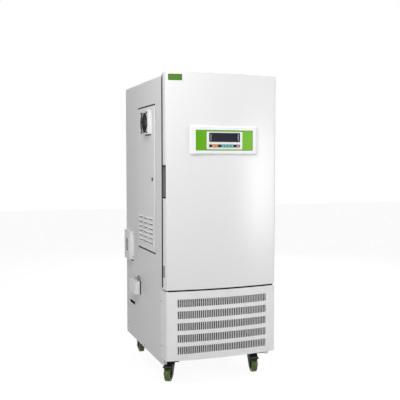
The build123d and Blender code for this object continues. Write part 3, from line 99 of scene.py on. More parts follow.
# %% [markdown]
# A pale studio: a white floor that runs far back, and a world that the camera sees as white
# while the object gets a lower level of light from it. A large lamp high in front and one high at
# the right light the door, and a small one low at the right makes the soft shine beside the panel.
# Five at the left give the side wall its fall from pale front edge to grey rear, and the two that
# hang above it throw the boxes' shadows downward. One behind keeps the back readable.

# %% Studio
seeing_rays = ("Is Camera Ray", "Is Glossy Ray", "Is Transmission Ray")


def backdrop(name, strength_seen, strength_lit):
    """White where the camera, a mirror or glass looks at it, and dimmer as a source of light."""
    world = bpy.data.worlds.new(name)
    world.use_nodes = True
    tree = world.node_tree
    paths = tree.nodes.new("ShaderNodeLightPath")
    total = None
    for ray in seeing_rays:
        seen = tree.nodes.new("ShaderNodeMath")
        seen.use_clamp = True
        tree.links.new(paths.outputs[ray], seen.inputs[0])
        seen.inputs[1].default_value = 0
        if total:
            tree.links.new(total, seen.inputs[1])
        total = seen.outputs[0]
    level = tree.nodes.new("ShaderNodeMapRange")
    level.inputs["To Min"].default_value = strength_lit
    level.inputs["To Max"].default_value = strength_seen
    tree.links.new(total, level.inputs["Value"])
    shade = tree.nodes["Background"]
    shade.inputs["Color"].default_value = (1, 1, 1, 1)
    tree.links.new(level.outputs["Result"], shade.inputs["Strength"])
    return world


bpy.context.scene.world = backdrop("white_studio", 1.0, 0.05)
bpy.context.scene.view_settings.view_transform = "Standard"


def soft_lamp(name, place, aim, size, power):
    """A square lamp that looks at a point."""
    data = bpy.data.lights.new(name, "AREA")
    data.shape = "RECTANGLE"
    data.size, data.size_y = size
    data.energy = power
    lamp = bpy.data.objects.new(name, data)
    lamp.location = place
    direction = Vector(aim) - Vector(place)
    lamp.rotation_euler = direction.to_track_quat("-Z", "Y").to_euler()
    bpy.context.scene.collection.objects.link(lamp)
    return lamp


wall = (-0.3, -0.2, 1.0)
door_middle = (0, -0.3, 0.95)
door_right = (0.2, -0.4, 0.95)
soft_lamp("key_softbox", (-0.7, -4.6, 2.9), door_middle, (1.6, 1.6), 26)
soft_lamp("right_softbox", (1.55, -2.15, 0.95), door_right, (0.5, 0.9), 14)
soft_lamp("high_right_softbox", (2.6, -1.9, 2.6), (0.2, -0.4, 1.1), (1.0, 1.4), 29)
soft_lamp("front_left_softbox", (-1.9, -1.9, 1.5), wall, (0.8, 1.4), 13)
soft_lamp("edge_softbox", (-1.0, -1.3, 2.1), wall, (0.4, 1.2), 6)
soft_lamp("left_softbox", (-2.6, -0.6, 1.2), wall, (0.8, 1.4), 4)
soft_lamp("top_left_softbox", (-1.6, -0.8, 3.2), wall, (1.2, 1.2), 6.5)
soft_lamp("top_front_softbox", (-1.3, -1.8, 3.0), wall, (0.8, 0.8), 19)
soft_lamp("rear_softbox", (1.8, 3.4, 2.3), (0.1, 0.3, 0.9), (1.6, 1.6), 70)


# %% [markdown]
# Shader maths reads best as plain expressions. A Signal wraps one socket, and adding or
# multiplying signals adds Math nodes. A Finish holds one material while it is being made,
# and its add method is the only way that any other node gets into the tree.

# %% Signals and finishes
def operator(operation):
    """A method that adds a Math node for two values."""

    def method(self, other):
        return self.math(operation, self, other)

    return method


class Signal:
    """One output socket that can be used in arithmetic."""

    def __init__(self, finish, socket):
        self.finish = finish
        self.socket = socket

    def math(self, operation, *values):
        node = self.finish.add("ShaderNodeMath", {"operation": operation})
        for slot, value in zip(node.inputs, values):
            self.finish.plug(slot, value)
        return Signal(self.finish, node.outputs[0])

    def __abs__(self):
        return self.math("ABSOLUTE", self)

    __add__ = __radd__ = operator("ADD")
    __sub__ = operator("SUBTRACT")
    __mul__ = operator("MULTIPLY")
    __truediv__ = operator("DIVIDE")
    __mod__ = operator("FLOORED_MODULO")
    __lt__ = operator("LESS_THAN")
    __gt__ = operator("GREATER_THAN")


class Finish:
    """A material under construction."""

    def __init__(self, name, color, roughness, metallic=0.0, **fixed):
        self.material = bpy.data.materials.new(name)
        self.material.use_nodes = True
        self.tree = self.material.node_tree
        self.tree.nodes.clear()
        self.shader = self.tree.nodes.new("ShaderNodeBsdfPrincipled")
        output = self.tree.nodes.new("ShaderNodeOutputMaterial")
        self.tree.links.new(self.shader.outputs[0], output.inputs[0])
        self.set("Base Color", color)
        self.set("Roughness", roughness)
        self.set("Metallic", metallic)
        for socket, value in fixed.items():
            self.set(socket.replace("_", " "), value)
        self.place = self.add("ShaderNodeTexCoord").outputs["Object"]

    def plug(self, socket, value):
        """Put a number, a colour, a signal or a socket into an input."""
        if isinstance(value, Signal):
            self.tree.links.new(value.socket, socket)
        elif isinstance(value, bpy.types.NodeSocket):
            self.tree.links.new(value, socket)
        elif isinstance(value, tuple) and len(value) == 3 and socket.type == "RGBA":
            socket.default_value = (*value, 1)
        else:
            socket.default_value = value

    def set(self, socket, value):
        self.plug(self.shader.inputs[socket], value)

    def add(self, kind, settings=None, **sockets):
        """Add a node, give it its settings first and then its sockets."""
        node = self.tree.nodes.new(kind)
        for key, value in (settings or {}).items():
            setattr(node, key, value)
        for name, value in sockets.items():
            self.plug(node.inputs[name.replace("_", " ")], value)
        return node

    def axes(self):
        """The three Object coordinates as signals."""
        split = self.add("ShaderNodeSeparateXYZ", Vector=self.place)
        return [Signal(self, split.outputs[axis]) for axis in "XYZ"]

    def noise(self, scale, detail=2.0, stretch=None):
        """Noise between 0 and 1, with features about 1/scale metres wide."""
        place = self.place
        if stretch:
            place = self.add("ShaderNodeMapping", Vector=place, Scale=stretch).outputs[0]
        node = self.add("ShaderNodeTexNoise", Vector=place, Scale=scale, Detail=detail)
        return Signal(self, node.outputs["Fac"])

    def mix(self, mask, low, high):
        """Go from one colour to another as the mask goes from 0 to 1."""
        node = self.add("ShaderNodeMix", {"data_type": "RGBA"})
        self.plug(node.inputs["Factor"], mask)
        self.plug(node.inputs[6], low)
        self.plug(node.inputs[7], high)
        return node.outputs[2]

    def bump(self, height, distance, strength=1.0):
        """Raise and lower the surface's shading by a height in metres."""
        node = self.add("ShaderNodeBump", Height=height, Distance=distance, Strength=strength)
        self.set("Normal", node.outputs[0])


def shade(color, factor):
    """A colour made lighter or darker."""
    return tuple(min(1.0, channel * factor) for channel in color)


# %% [markdown]
# Powder coating is sprayed on dry and melts to a smooth skin with a faint orange peel.
# Its bumps are one to two millimetres wide and a few hundredths deep, so they soften
# reflections without showing as dots. A slow change of tone keeps large panels alive.

# %% Painted and powder coated steel
def powder_coat(name, color, roughness=0.34, gloss=0.5, coat=0.15):
    fixed = {"Specular_IOR_Level": gloss, "Coat_Weight": coat, "Coat_Roughness": 0.25}
    finish = Finish(name, color, roughness, **fixed)
    cloud = finish.noise(2.2, 2.0)
    finish.set("Base Color", finish.mix(cloud, shade(color, 0.975), shade(color, 1.015)))
    finish.set("Roughness", roughness - 0.015 + finish.noise(14, 1.0) * 0.03)
    peel = finish.noise(620, 2.0)
    finish.bump(peel, 0.00005, 0.6)
    return finish.material


white_paint = powder_coat("white_powder_coat", (0.80, 0.80, 0.80), 0.36, 0.22, 0.02)
cover_paint = powder_coat("cover_powder_coat", (0.82, 0.82, 0.82), 0.34, 0.25, 0.03)
door_paint = powder_coat("door_powder_coat", (0.82, 0.82, 0.825), 0.3)


# %% [markdown]
# Brushed stainless steel has long thin scratches in one direction. Noise stretched
# about thirty times along the sheet gives them, in both roughness and bump.

# %% Bare metals
def brushed(name, color, roughness, stretch, marks=260):
    finish = Finish(name, color, roughness, 1.0)
    lines = finish.noise(marks, 4.0, stretch)
    smudge = finish.noise(5, 3.0)
    finish.set("Roughness", roughness - 0.08 + lines * 0.14 + smudge * 0.06)
    finish.set("Base Color", finish.mix(lines, shade(color, 0.88), shade(color, 1.08)))
    finish.bump(lines, 0.00004, 0.5)
    return finish.material


stainless = brushed("brushed_stainless", (0.62, 0.62, 0.63), 0.3, (1, 1, 0.03))
zinc = brushed("zinc_plate", (0.58, 0.59, 0.60), 0.34, (1, 0.5, 0.5), 90)


def finned(name, color, pitch, metallic=1.0, gloss=0.5):
    """Aluminium fins seen edge on: light lines, and dark lines of painted shade between the fins.
    """
    finish = Finish(name, color, 0.4, metallic, Specular_IOR_Level=gloss)
    x, y, z = finish.axes()
    wave = abs((x / pitch) % 1.0 - 0.5) * 2
    finish.set("Base Color", finish.mix(wave, shade(color, 0.35), shade(color, 1.1)))
    finish.set("Roughness", 0.32 + finish.noise(60) * 0.15)
    finish.bump(wave, 0.0008, 0.8)
    return finish.material


coil_fins = finned("aluminium_fins", (0.55, 0.56, 0.57), 0.0022)


# %% [markdown]
# Moulded plastic keeps the fine grain of its mould, and rubber is duller and coarser.
# Both get a slight change of tone, because dust settles unevenly on them.

# %% Plastics and rubber
def moulded(name, color, roughness, grain=900, depth=0.00006, gloss=0.45, other=None, mask=None):
    """A grained surface, with another colour where a mask covers it."""
    finish = Finish(name, color, roughness, Specular_IOR_Level=gloss)
    cloud = finish.noise(9, 3.0)
    tone = finish.mix(cloud, shade(color, 0.9), shade(color, 1.08))
    if mask:
        second = finish.mix(cloud, shade(other, 0.9), shade(other, 1.08))
        tone = finish.mix(mask(*finish.axes()), tone, second)
    finish.set("Base Color", tone)
    finish.set("Roughness", roughness - 0.02 + finish.noise(40, 2.0) * 0.04)
    finish.bump(finish.noise(grain, 2.0), depth, 0.6)
    return finish.material


black_paint = moulded("black_enamel", (0.010, 0.010, 0.011), 0.5, 700, 0.00006, 0.2)
black_plastic = moulded("black_moulding", (0.012, 0.012, 0.013), 0.45, gloss=0.25)
fan_plastic = moulded("fan_moulding", (0.012, 0.012, 0.013), 0.5, gloss=0.2)
white_plastic = moulded("white_moulding", (0.86, 0.86, 0.855), 0.28, 1200, 0.00003)
pale_plastic = moulded("bezel_moulding", (0.92, 0.92, 0.925), 0.22, 1200, 0.00002)
orange_plastic = moulded("orange_key", (0.72, 0.20, 0.05), 0.3, 1500, 0.00003)
teal_plastic = moulded("teal_key", (0.02, 0.36, 0.37), 0.3, 1500, 0.00003)
mauve_plastic = moulded("mauve_key", (0.40, 0.13, 0.28), 0.3, 1500, 0.00003)
gasket_rubber = moulded("gasket_rubber", (0.008, 0.008, 0.009), 0.7, 500, 0.0001, 0.04)
wheel_green = moulded("wheel_polyurethane", (0.09, 0.15, 0.03), 0.36, 300, 0.0001)
grey_plastic = moulded("grey_gland", (0.30, 0.30, 0.31), 0.4)

# %% [markdown]
# The lamps' window is clear glass with a faint green body colour, and the tubes behind it
# are frosted. A tube's glow comes from its white powder, so it is a pale diffuse surface.

# %% Glass
def clear_glass(name, color, alpha):
    finish = Finish(name, color, 0.06, IOR=1.45)
    finish.set("Alpha", alpha + finish.noise(6, 2.0) * 0.06)
    finish.set("Roughness", 0.04 + finish.noise(18, 3.0) * 0.08)
    return finish.material


window_glass = clear_glass("window_glass", (0.72, 0.80, 0.77), 0.22)
tube_mid_z, tube_clear_half = 1.044, 0.272


def frosted(name, color):
    finish = Finish(name, color, 0.3, Coat_Weight=0.4, Coat_Roughness=0.1)
    x, y, z = finish.axes()
    ends = abs(z - tube_mid_z) > tube_clear_half
    finish.set("Base Color", finish.mix(ends, color, (0.5, 0.5, 0.48)))
    finish.set("Roughness", 0.26 + finish.noise(30) * 0.1)
    return finish.material


tube_glass = frosted("lamp_tube", (0.88, 0.88, 0.86))

# %% [markdown]
# Some parts change colour from place to place: the handle cup has a black rim round a grey
# hollow and the gland on the black inlet is grey. Other masks paint shade in black: on the trays
# where they frame a cover, in the machine bay behind the lower panel, along the base runners' low
# edge and inside the breaker box's slot. Masks made from the Object coordinates paint
# these, so one solid can carry two finishes.

# %% Two tone parts
def inside(axis, low, high):
    """1 between two values and 0 outside them."""
    return abs(axis - (low + high) / 2) < (high - low) / 2


def border(x, z, middle, half):
    """1 beyond the edges of a rectangle and 0 inside them."""
    past_x = abs(x - middle[0]) > half[0]
    past_z = abs(z - middle[1]) > half[1]
    return past_x + past_z - past_x * past_z


def two_tone(name, main, other, roughness, mask, gloss=0.45):
    return moulded(name, main, roughness, gloss=gloss, other=other, mask=mask)


cup_y, cup_z = (-0.3815, -0.3365), (0.9605, 1.1130)
latch_y, latch_z = (-0.3715, -0.3425), (0.5625, 0.6155)
latch_slot_y, latch_slot_z = (-0.3600, -0.3530), (0.5700, 0.6080)
gland_foot_z = 0.4665
tray_frame_x = 0.2885
bay_floor_z, runner_top_z = 0.1425, 0.112
bay_half, bay_y = 0.2965, (-0.3195, 0.409)
foam_back_y = 0.4
panel_skin, slotted_half = 0.0004, 0.285
breaker_y, breaker_z, breaker_face_x = (0.2845, 0.3465), (0.603, 0.695), -0.3192


def handle_hollow(x, y, z):
    cup = inside(y, *cup_y) * inside(z, *cup_z)
    latch = inside(y, *latch_y) * inside(z, *latch_z)
    slot = inside(y, *latch_slot_y) * inside(z, *latch_slot_z)
    return cup + latch - latch * slot


def gland_part(x, y, z):
    return z > gland_foot_z


# Painted shade: black on the tray's rims beside the covers, for the gaps above and below them.
def tray_gap_shade_mask(x, y, z):
    return abs(x) > tray_frame_x


# Painted shade: black inside the machine bay and along the runners' low front edge.
def base_shade_mask(x, y, z):
    bay = (z > bay_floor_z) * inside(x, -bay_half, bay_half) * inside(y, *bay_y)
    return bay + (z < runner_top_z) * (y < 0)


def foam_edge(x, y, z):
    return y > foam_back_y


# Painted shade: black behind the front skin of the slotted panel, so its slits read dark.
def panel_shade_mask(x, y, z):
    depth = y - x * x / (2 * bow_radius) - front_y
    return (depth > panel_skin) * inside(x, -slotted_half, slotted_half)


# Painted shade: black inside the breaker box's slot, behind its face.
def breaker_slot_shade(x, y, z):
    return inside(y, *breaker_y) * inside(z, *breaker_z) * (x > breaker_face_x)


rim_black, hollow_grey = (0.012, 0.012, 0.013), (0.27, 0.27, 0.275)
inlet_black, gland_grey = (0.02, 0.02, 0.02), (0.30, 0.30, 0.31)
tray_white, tray_gap_shade_black = (0.70, 0.70, 0.70), (0.015, 0.015, 0.016)
box_white, slot_shade_black = (0.88, 0.88, 0.88), (0.02, 0.02, 0.02)
base_white, bay_shade_black = (0.80, 0.80, 0.80), (0.015, 0.015, 0.015)
panel_white, slit_shade_black = (0.88, 0.88, 0.88), (0.01, 0.01, 0.01)
foam_cream, foam_white = (0.78, 0.70, 0.48), (0.80, 0.80, 0.80)
handle_plastic = two_tone("handle_cup", rim_black, hollow_grey, 0.4, handle_hollow)
inlet_plastic = two_tone("inlet_base", inlet_black, gland_grey, 0.42, gland_part)
tray_paint_and_shade = two_tone("lamp_tray", tray_white, tray_gap_shade_black, 0.35, tray_gap_shade_mask)
breaker_paint_and_shade = two_tone("breaker_shell_and_shade", box_white, slot_shade_black, 0.34, breaker_slot_shade, 0.2)
base_paint_and_shade = two_tone("base_frame_paint_and_shade", base_white, bay_shade_black, 0.34, base_shade_mask, 0.15)
panel_paint_and_shade = two_tone("grille_paint_and_shade", panel_white, slit_shade_black, 0.34, panel_shade_mask, 0.25)
foam = two_tone("pale_foam", foam_cream, foam_white, 0.85, foam_edge, 0.1)
# The condenser's fins are black paint, and that black is also painted shade seen through the
# grille's slits.
black_fins = finned("black_condenser_fins", (0.010, 0.010, 0.011), 0.0022, 0.0, 0.1)

# %% [markdown]
# The solids of the imported model get their finishes here, but the display's fascia and window get
# theirs with the control panel. Parts that are pressed and coated together share one paint, and a
# table of finishes and part names keeps that easy to see. A star stands for any ending, such as
# the four corners of the castors.

# %% Dress the CAD nodes
finishes = {
    white_paint: "outer_shell back_panel",
    base_paint_and_shade: "base_frame",
    panel_paint_and_shade: "grille_panel",
    breaker_paint_and_shade: "breaker_box",
    handle_plastic: "door_handle",
    inlet_plastic: "mains_inlet",
    tray_paint_and_shade: "lamp_trays",
    black_fins: "condenser",
    door_paint: "door_skin",
    cover_paint: "lamp_cover_*",
    white_plastic: "front_frame door_liner inlet_cover",
    stainless: "inner_liner air_duct_panel shelf_*",
    zinc: "hinge_brackets",
    foam: "insulation",
    coil_fins: "evaporator",
    fan_plastic: "circulation_* condenser_rotor exhaust_*",
    black_paint: "compressor castor_plates castor_fork_* brake_pedal_*",
    black_plastic: "key_strip breaker_toggle cover_lock_*",
    gasket_rubber: "door_gasket",
    window_glass: "lamp_windows",
    tube_glass: "lamp_tubes",
    pale_plastic: "display_bezel",
    orange_plastic: "key_1 key_2",
    teal_plastic: "key_3 key_4 key_5 key_6",
    mauve_plastic: "key_7",
    wheel_green: "castor_wheel_*",
}


def dress(name, material):
    """Give a CAD node its finish."""
    mesh = nodes[name].data
    mesh.materials.clear()
    mesh.materials.append(material)


for material, patterns in finishes.items():
    for pattern in patterns.split():
        for name in matching(nodes, pattern):
            dress(name, material)

# %% [markdown]
# The small pieces are made with mesh operators around the origin and then moved to their
# places. Every one rides on the body that carries it, so it follows doors, covers and castors.

# %% Making and placing pieces
def turn_to(outward, up=(0, 0, 1)):
    """A rotation that takes local Z to outward and keeps local Y as near to up as it can."""
    z_axis = Vector(outward).normalized()
    x_axis = Vector(up).cross(z_axis)
    if x_axis.length < 1e-6:
        x_axis = Vector((1, 0, 0))
    x_axis.normalize()
    y_axis = z_axis.cross(x_axis)
    return Matrix((x_axis, y_axis, z_axis)).transposed().to_4x4()


def placed(bm, place, outward=(0, 0, 1), up=(0, 0, 1)):
    """Move a new shape from the origin to its place on the cabinet."""
    matrix = Matrix.Translation(place) @ turn_to(outward, up)
    bmesh.ops.transform(bm, matrix=matrix, verts=bm.verts)
    return bm


def joined(shapes):
    """Several bmesh shapes in one."""
    whole = bmesh.new()
    for shape in shapes:
        mesh = bpy.data.meshes.new("part")
        shape.to_mesh(mesh)
        shape.free()
        whole.from_mesh(mesh)
        bpy.data.meshes.remove(mesh)
    return whole


def piece(name, bm, body, material, smooth=35):
    """Turn a shape into an object that rides on a body."""
    bmesh.ops.remove_doubles(bm, verts=bm.verts, dist=1e-6)
    bmesh.ops.recalc_face_normals(bm, faces=bm.faces)
    mesh = bpy.data.meshes.new(name)
    bm.to_mesh(mesh)
    bm.free()
    mesh.materials.append(material)
    mesh.shade_smooth()
    mesh.set_sharp_from_angle(angle=radians(smooth))
    thing = bpy.data.objects.new(name, mesh)
    bpy.context.scene.collection.objects.link(thing)
    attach(thing, body)
    return thing


def soften(bm, geom, width, segments=2, affect="EDGES"):
    """Round some edges, or the corners of a flat face."""
    bmesh.ops.bevel(
        bm,
        geom=geom,
        offset=width,
        offset_type="OFFSET",
        affect=affect,
        segments=segments,
        profile=0.5,
        material=-1,
        clamp_overlap=affect == "EDGES",
    )


def disc(segments, radius, depth, taper=1.0):
    """A low cylinder round the origin, with its top made narrower by the taper."""
    bm = bmesh.new()
    sizes = {"radius1": radius, "radius2": radius * taper, "depth": depth}
    bmesh.ops.create_cone(bm, cap_ends=True, segments=segments, **sizes)
    return bm


def highest(bm):
    """The face that lies highest."""
    return max(bm.faces, key=lambda face: face.calc_center_median().z)


def extrude(bm, faces, height):
    """Push some faces along Z and make walls round them."""
    grown = bmesh.ops.extrude_face_region(bm, geom=faces)
    moved = [v for v in grown["geom"] if isinstance(v, bmesh.types.BMVert)]
    bmesh.ops.translate(bm, verts=moved, vec=(0, 0, height))


def cut_at(bm, place, axis=(1, 0, 0)):
    """Cut every face with a plane across an axis."""
    whole = [*bm.verts, *bm.edges, *bm.faces]
    bmesh.ops.bisect_plane(bm, geom=whole, plane_co=Vector(axis) * place, plane_no=axis)


# %% [markdown]
# A pan head screw is a low disc with a rounded rim and a cross recess. The rim is bevelled,
# the top face is inset, two pairs of cuts mark the cross, and its faces are pushed down.

# %% Screws
def pan_screw(radius):
    """A cross recessed pan head standing on the XY plane."""
    height = radius * 0.62
    arm_half = radius * 0.13
    arm_reach = radius * 0.52
    depth = radius * 0.22
    bm = disc(20, radius, height, 0.86)
    bmesh.ops.translate(bm, verts=bm.verts, vec=(0, 0, height / 2))
    soften(bm, list(highest(bm).edges), radius * 0.2)
    bmesh.ops.inset_individual(bm, faces=[highest(bm)], thickness=radius * 0.22)
    level = highest(bm).calc_center_median().z
    for axis in ((1, 0, 0), (0, 1, 0)):
        for offset in (-arm_half, arm_half):
            flat = [f for f in bm.faces if abs(f.calc_center_median().z - level) < 1e-7]
            flat = [f for f in flat if f.calc_center_median().length < radius]
            edges = {e for f in flat for e in f.edges}
            verts = {v for f in flat for v in f.verts}
            bmesh.ops.bisect_plane(
                bm,
                geom=[*flat, *edges, *verts],
                plane_co=Vector(axis) * offset,
                plane_no=axis,
            )
    cross = []
    for face in bm.faces:
        centre = face.calc_center_median()
        inner = Vector((centre.x, centre.y)).length < arm_reach
        if abs(centre.z - level) < 1e-7 and inner:
            if abs(centre.x) < arm_half or abs(centre.y) < arm_half:
                cross.append(face)
    extrude(bm, cross, -depth)
    bmesh.ops.delete(bm, geom=cross, context="FACES_ONLY")
    return bm


def screws(name, body, material, outward, places, radius=0.0034):
    """A set of screws on one face."""
    shapes = []
    for number, place in enumerate(places):
        shape = pan_screw(radius)
        spin = Matrix.Rotation(radians(23 + 31 * number), 4, "Z")
        bmesh.ops.transform(shape, matrix=spin, verts=shape.verts)
        shapes.append(placed(shape, place, outward))
    return piece(name, joined(shapes), body, material)


screw_steel = brushed("screw_steel", (0.50, 0.50, 0.51), 0.3, (1, 1, 1), 900)
dark_steel = brushed("dark_screw_steel", (0.16, 0.16, 0.165), 0.35, (1, 1, 1), 900)

left = (-1, 0, 0)
front = (0, -1, 0)
back = (0, 1, 0)
sides = ((-1, "left"), (1, "right"))
flange_x = -wall_x - 0.002
grille_screw_y, grille_screw_z = chord_y + 0.075, (0.4325, 0.2052)
base_screw_places = ((chord_y + 0.75, 0.171), (chord_y + 0.4, 0.124))
sunk_y = back_y - 0.0020
edge_screw_x, edge_screw_z = 0.283, (0.17, 0.45, 0.75, 1.05, 1.35, 1.535)

breaker_screws = [(flange_x, y, z) for y in (0.2445, 0.3865) for z in (0.716, 0.582)]
screws("breaker_screws", "cabinet", dark_steel, left, breaker_screws, 0.0036)
for side, name in sides:
    outward = (side, 0, 0)
    spots = [(side * panel_half, grille_screw_y, z) for z in grille_screw_z]
    screws("grille_screws_" + name, "cabinet", dark_steel, outward, spots)
    spots = [(side * wall_x, y, z) for y, z in base_screw_places]
    screws("base_screws_" + name, "cabinet", dark_steel, outward, spots, 0.003)
back_screws = [(x, sunk_y, z) for x in (-edge_screw_x, edge_screw_x) for z in edge_screw_z]
back_screws += [(x, sunk_y, z) for x in (-0.14, 0.0, 0.14) for z in (0.155, 1.54)]
screws("back_screws", "cabinet", screw_steel, back, back_screws)
side_screws = 2 * (len(grille_screw_z) + len(base_screw_places))
print("screws made:", len(breaker_screws) + len(back_screws) + side_screws)

# %% [markdown]
# A plate with rounded corners starts as one square face. Its corners are bevelled as
# vertices, it is extruded to its thickness, and its rim is bevelled as edges.

# %% Plates
def plate(width, height, thick, corner, rim=0.0002):
    """A flat plate with rounded corners that stands on the XY plane."""
    bm = bmesh.new()
    bmesh.ops.create_grid(bm, x_segments=1, y_segments=1, size=0.5)
    bmesh.ops.scale(bm, vec=(width, height, 1), verts=bm.verts)
    soften(bm, list(bm.verts), corner, 5, "VERTICES")
    extrude(bm, list(bm.faces), thick)
    if rim:
        soften(bm, list(highest(bm).edges), rim)
    return bm


def on_bow(bm, depth=0.0):
    """Bend a shape to the bowed front, or to an arc that lies deeper."""
    for vert in bm.verts:
        vert.co.y += bow_centre_y - sqrt((bow_radius - depth) ** 2 - vert.co.x**2)


# %% [markdown]
# The control panel has a green film on its fascia with a white frame round the display.
# The film is brighter at the right, where the lamp reaches it, and a fine darker line
# runs round its edge. Two silver bars lie on the display's tinted window.

# %% Control panel
bezel_low, bezel_high = node_box("display_bezel")
fascia_y = node_box("display_fascia")[0][1]
panel_z = (bezel_low[2] + bezel_high[2]) / 2
film_half = (0.1505, 0.0478)
window_z = panel_z + 0.0147
window_half = (0.0795, 0.0195)
bar_x = 0.0735


def green_film():
    finish = Finish("green_film", (0.13, 0.40, 0.006), 0.3, Specular_IOR_Level=0.2)
    x, y, z = finish.axes()
    edge = border(x, z, (0, panel_z), film_half)
    across = x * 3.2 + 0.5
    film = finish.mix(across, (0.115, 0.385, 0.004), (0.20, 0.51, 0.04))
    finish.set("Base Color", finish.mix(edge, film, (0.10, 0.30, 0.008)))
    finish.set("Roughness", 0.26 + finish.noise(60, 3.0) * 0.1)
    finish.bump(finish.noise(1500, 1.0), 0.00002, 0.5)
    return finish.material


def display_film():
    finish = Finish("display_film", (0.010, 0.011, 0.02), 0.12, Specular_IOR_Level=0.28)
    x, y, z = finish.axes()
    glow = finish.noise(16, 2.0)
    tint = finish.mix(glow, (0.006, 0.008, 0.018), (0.014, 0.014, 0.03))
    edge = border(x, z, (0, window_z), window_half)
    finish.set("Base Color", finish.mix(edge, tint, (0.006, 0.006, 0.008)))
    finish.set("Roughness", 0.1 + edge * 0.2)
    return finish.material


dress("display_fascia", green_film())
dress("display_window", display_film())

frame_plate = placed(plate(0.192, 0.087, 0.0006, 0.004), (0, fascia_y, panel_z - 0.001), front)
piece("display_frame", frame_plate, "door", white_plastic)
bars = []
for x in (-bar_x, bar_x):
    bar = plate(0.0016, 0.034, 0.0003, 0.0004, 0)
    bars.append(placed(bar, (x, fascia_y - 0.001, window_z), front))
piece("display_bars", joined(bars), "door", stainless)

# %% [markdown]
# Each key has a white sign: a ring, a bar, four arrows and a square, as any controller has.
# A film key is printed, so the signs are plates a tenth of a millimetre thick.

# %% Key signs
key_pitch = 0.01665
key_columns = (-3.63, -2.63, -0.60, 0.40, 1.40, 2.40, 4.33)
strip_z = panel_z - 0.0275
key_face_y = fascia_y - 0.002
ink = 0.0001
arrow_size = 0.0038


def arrow(turn):
    """A flat triangle, made as a disc with three corners."""
    bm = disc(3, arrow_size, ink)
    bmesh.ops.rotate(bm, verts=bm.verts, matrix=Matrix.Rotation(turn, 3, "Z"))
    return bm


def ring(outer, inner, thick, segments=28):
    """A flat washer."""
    bm = bmesh.new()
    bmesh.ops.create_circle(bm, cap_ends=True, segments=segments, radius=outer)
    bmesh.ops.inset_individual(bm, faces=list(bm.faces), thickness=outer - inner)
    hole = min(bm.faces, key=lambda f: max(v.co.length for v in f.verts))
    bmesh.ops.delete(bm, geom=[hole], context="FACES")
    extrude(bm, list(bm.faces), thick)
    return bm


signs = [
    ring(0.0036, 0.0024, ink),
    plate(0.0064, 0.0016, ink, 0.0003, 0),
    arrow(pi / 2),
    arrow(-pi / 2),
    arrow(pi),
    arrow(0),
    plate(0.0048, 0.0048, ink, 0.0006, 0),
]
sign_white = moulded("sign_ink", (0.82, 0.82, 0.80), 0.4, 2000, 0.00001)
for number, (sign, column) in enumerate(zip(signs, key_columns), 1):
    placed(sign, (column * key_pitch, key_face_y - ink / 2, strip_z), front)
    piece(f"key_sign_{number}", sign, f"key_{number}", sign_white)
print("keys:", len(signs), "signs at", round(key_face_y, 4))

# %% [markdown]
# Makers put a small plate on the door's top left corner. Here it stays bare: a green film
# with a darker printed border, laid on the bow.

# %% Bare plate on the door
corner_plate_x, corner_plate_z = -0.2515, 1.548
print_half = (0.0305, 0.0112)


def printed_green():
    finish = Finish("printed_green", (0.09, 0.20, 0.015), 0.32, Specular_IOR_Level=0.2)
    x, y, z = finish.axes()
    edge = border(x, z, (corner_plate_x, corner_plate_z), print_half)
    speckle = finish.noise(260, 2.0)
    film = finish.mix(speckle, (0.045, 0.13, 0.008), (0.13, 0.29, 0.02))
    finish.set("Base Color", finish.mix(edge, film, (0.045, 0.13, 0.008)))
    finish.set("Roughness", 0.28 + finish.noise(80) * 0.1)
    return finish.material


corner_plate = plate(0.069, 0.030, 0.0006, 0.0012, 0)
for step in range(-2, 3):
    cut_at(corner_plate, step * 0.0115)
placed(corner_plate, (corner_plate_x, 0, corner_plate_z), front)
on_bow(corner_plate)
piece("corner_plate", corner_plate, "door", printed_green())

# %% [markdown]
# The door's gasket is an extruded rubber bellows. From the side one sees its outer lip, which
# reaches almost to the door's edge: it is the real black gasket, and it is also painted shade for
# the dark line between door and cabinet. A narrow upright black lip and a black tape on the door's
# edge are painted shade that widens that line at the latch side, and the ring is lower at the top
# right, where the hinge plate passes.

# %% Gasket lips
def frame_ring(width, height, band, thick, corner):
    """A rounded rectangular ring, standing on the XY plane."""
    bm = plate(width, height, thick, corner, 0)
    ends = sorted(bm.faces, key=lambda f: f.calc_center_median().z)
    ends = [ends[0], ends[-1]]
    bmesh.ops.inset_individual(bm, faces=ends, thickness=band)
    inner = [f for f in bm.faces if len(f.verts) > 4]
    loops = {e for f in inner for e in f.edges}
    bmesh.ops.delete(bm, geom=inner, context="FACES_ONLY")
    bmesh.ops.bridge_loops(bm, edges=list(loops))
    return bm


door_rear_y = chord_y + 0.054
door_mid_z = (door_low[2] + door_high[2]) / 2
hinge_notch_x, hinge_notch_z = 0.24, 1.5590

lip = frame_ring(0.597, 1.0725, 0.010, 0.0072, 0.006)
placed(lip, (0, door_rear_y + 0.0074, door_mid_z - 0.0004), front)
for vert in lip.verts:
    if vert.co.x > hinge_notch_x:
        vert.co.z = min(vert.co.z, hinge_notch_z)
piece("gasket_lip", lip, "door", gasket_rubber)
# Painted shade: a black lip and a black tape that darken the gap at the latch side.
latch_shade_lip = plate(0.0015, 1.050, 0.0088, 0.0003, 0)
placed(latch_shade_lip, (-0.2978, door_rear_y + 0.0163, door_mid_z - 0.006), front)
edge_shade_tape = plate(0.0060, 1.062, 0.0006, 0.0002, 0)
placed(edge_shade_tape, (-0.2990, door_rear_y - 0.0032, door_mid_z), left)
latch_side_shade = joined([latch_shade_lip, edge_shade_tape])
piece("gap_shade_latch_side", latch_side_shade, "door", gasket_rubber)

# %% [markdown]
# A strip of black foam tape on the grille panel's top edge is painted shade: it makes the gap
# under the door read dark. It follows the bow of the panel.

